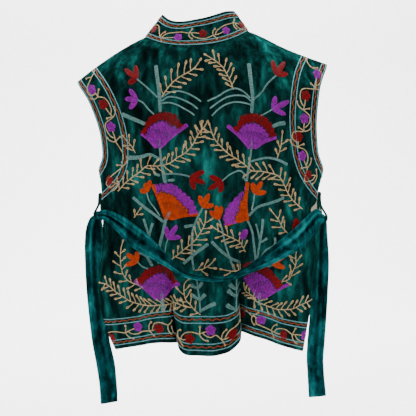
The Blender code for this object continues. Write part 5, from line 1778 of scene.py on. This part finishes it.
# From the camera to the cloth of the back, one pixel there, the picture's width in pixels, and the
# sensor's in millimetres
DISTANCE, PIXEL, PIXELS, SENSOR = 1.6, 0.00197, 416, 36
lens = bpy.data.cameras.new("camera")
lens.sensor_width = SENSOR
lens.lens = SENSOR * (DISTANCE / PIXEL) / PIXELS
CAMERA_PLACE, CAMERA_AIM = (-0.0029, 1.6844, -0.1240), (-0.0029, 0.1, -0.34672)
camera = aimed("camera", lens, CAMERA_PLACE, CAMERA_AIM)
bpy.context.scene.camera = camera

FLOOR, WALL_AT, BEND, REACH = -0.98, -2.4, 1.1, 5.0
FRONT_EDGE, TOP_EDGE, BEND_STEPS = 3.5, 3.5, 25
profile = [(FRONT_EDGE, FLOOR)] + [
    (WALL_AT + BEND - BEND * math.sin(t), FLOOR + BEND - BEND * math.cos(t))
    for t in np.linspace(0, math.pi / 2, BEND_STEPS)
] + [(WALL_AT, TOP_EDGE)]
sweep = bpy.data.meshes.new("backdrop")
sweep.from_pydata(
    [(x, y, z) for y, z in profile for x in (-REACH, REACH)], [],
    [(2 * i, 2 * i + 1, 2 * i + 3, 2 * i + 2) for i in range(len(profile) - 1)],
)
sweep.shade_smooth()
paper = Finish("backdrop_paper", 0.9, 0.1)
grain = paper.noise(60.0, 2.0)
white = paper.ramp(grain, (0.3, (246,) * 3), (0.7, (252,) * 3))
sweep.materials.append(paper.finish(white, paper.bump(grain, 0.0005, 0.05)))
backdrop = on_stage("backdrop", sweep)

Lamp = namedtuple("Lamp", "place aim size power")
LAMPS = rows(
    Lamp,
    ((1.6, 2.2, 1.5), (0, 0, -0.35), 1.6, 75), ((-1.9, 1.8, 0.8), (0, 0, -0.4), 1.6, 38),
    ((0, -1, 2.6), (0, -2.4, -0.3), 2.4, 480), ((1.2, -2, 1.2), (0, 0, -0.35), 1.4, 30),
)
for number, lamp in enumerate(LAMPS):
    light = bpy.data.lights.new(f"lamp_{number}", "AREA")
    light.shape, light.size, light.energy = "SQUARE", lamp.size, lamp.power
    aimed(f"lamp_{number}", light, lamp.place, lamp.aim)
world = bpy.data.worlds.new("studio")
world.use_nodes = True
for key, value in (("Color", (1, 1, 1, 1)), ("Strength", 1.0)):
    world.node_tree.nodes["Background"].inputs[key].default_value = value
bpy.context.scene.world = world
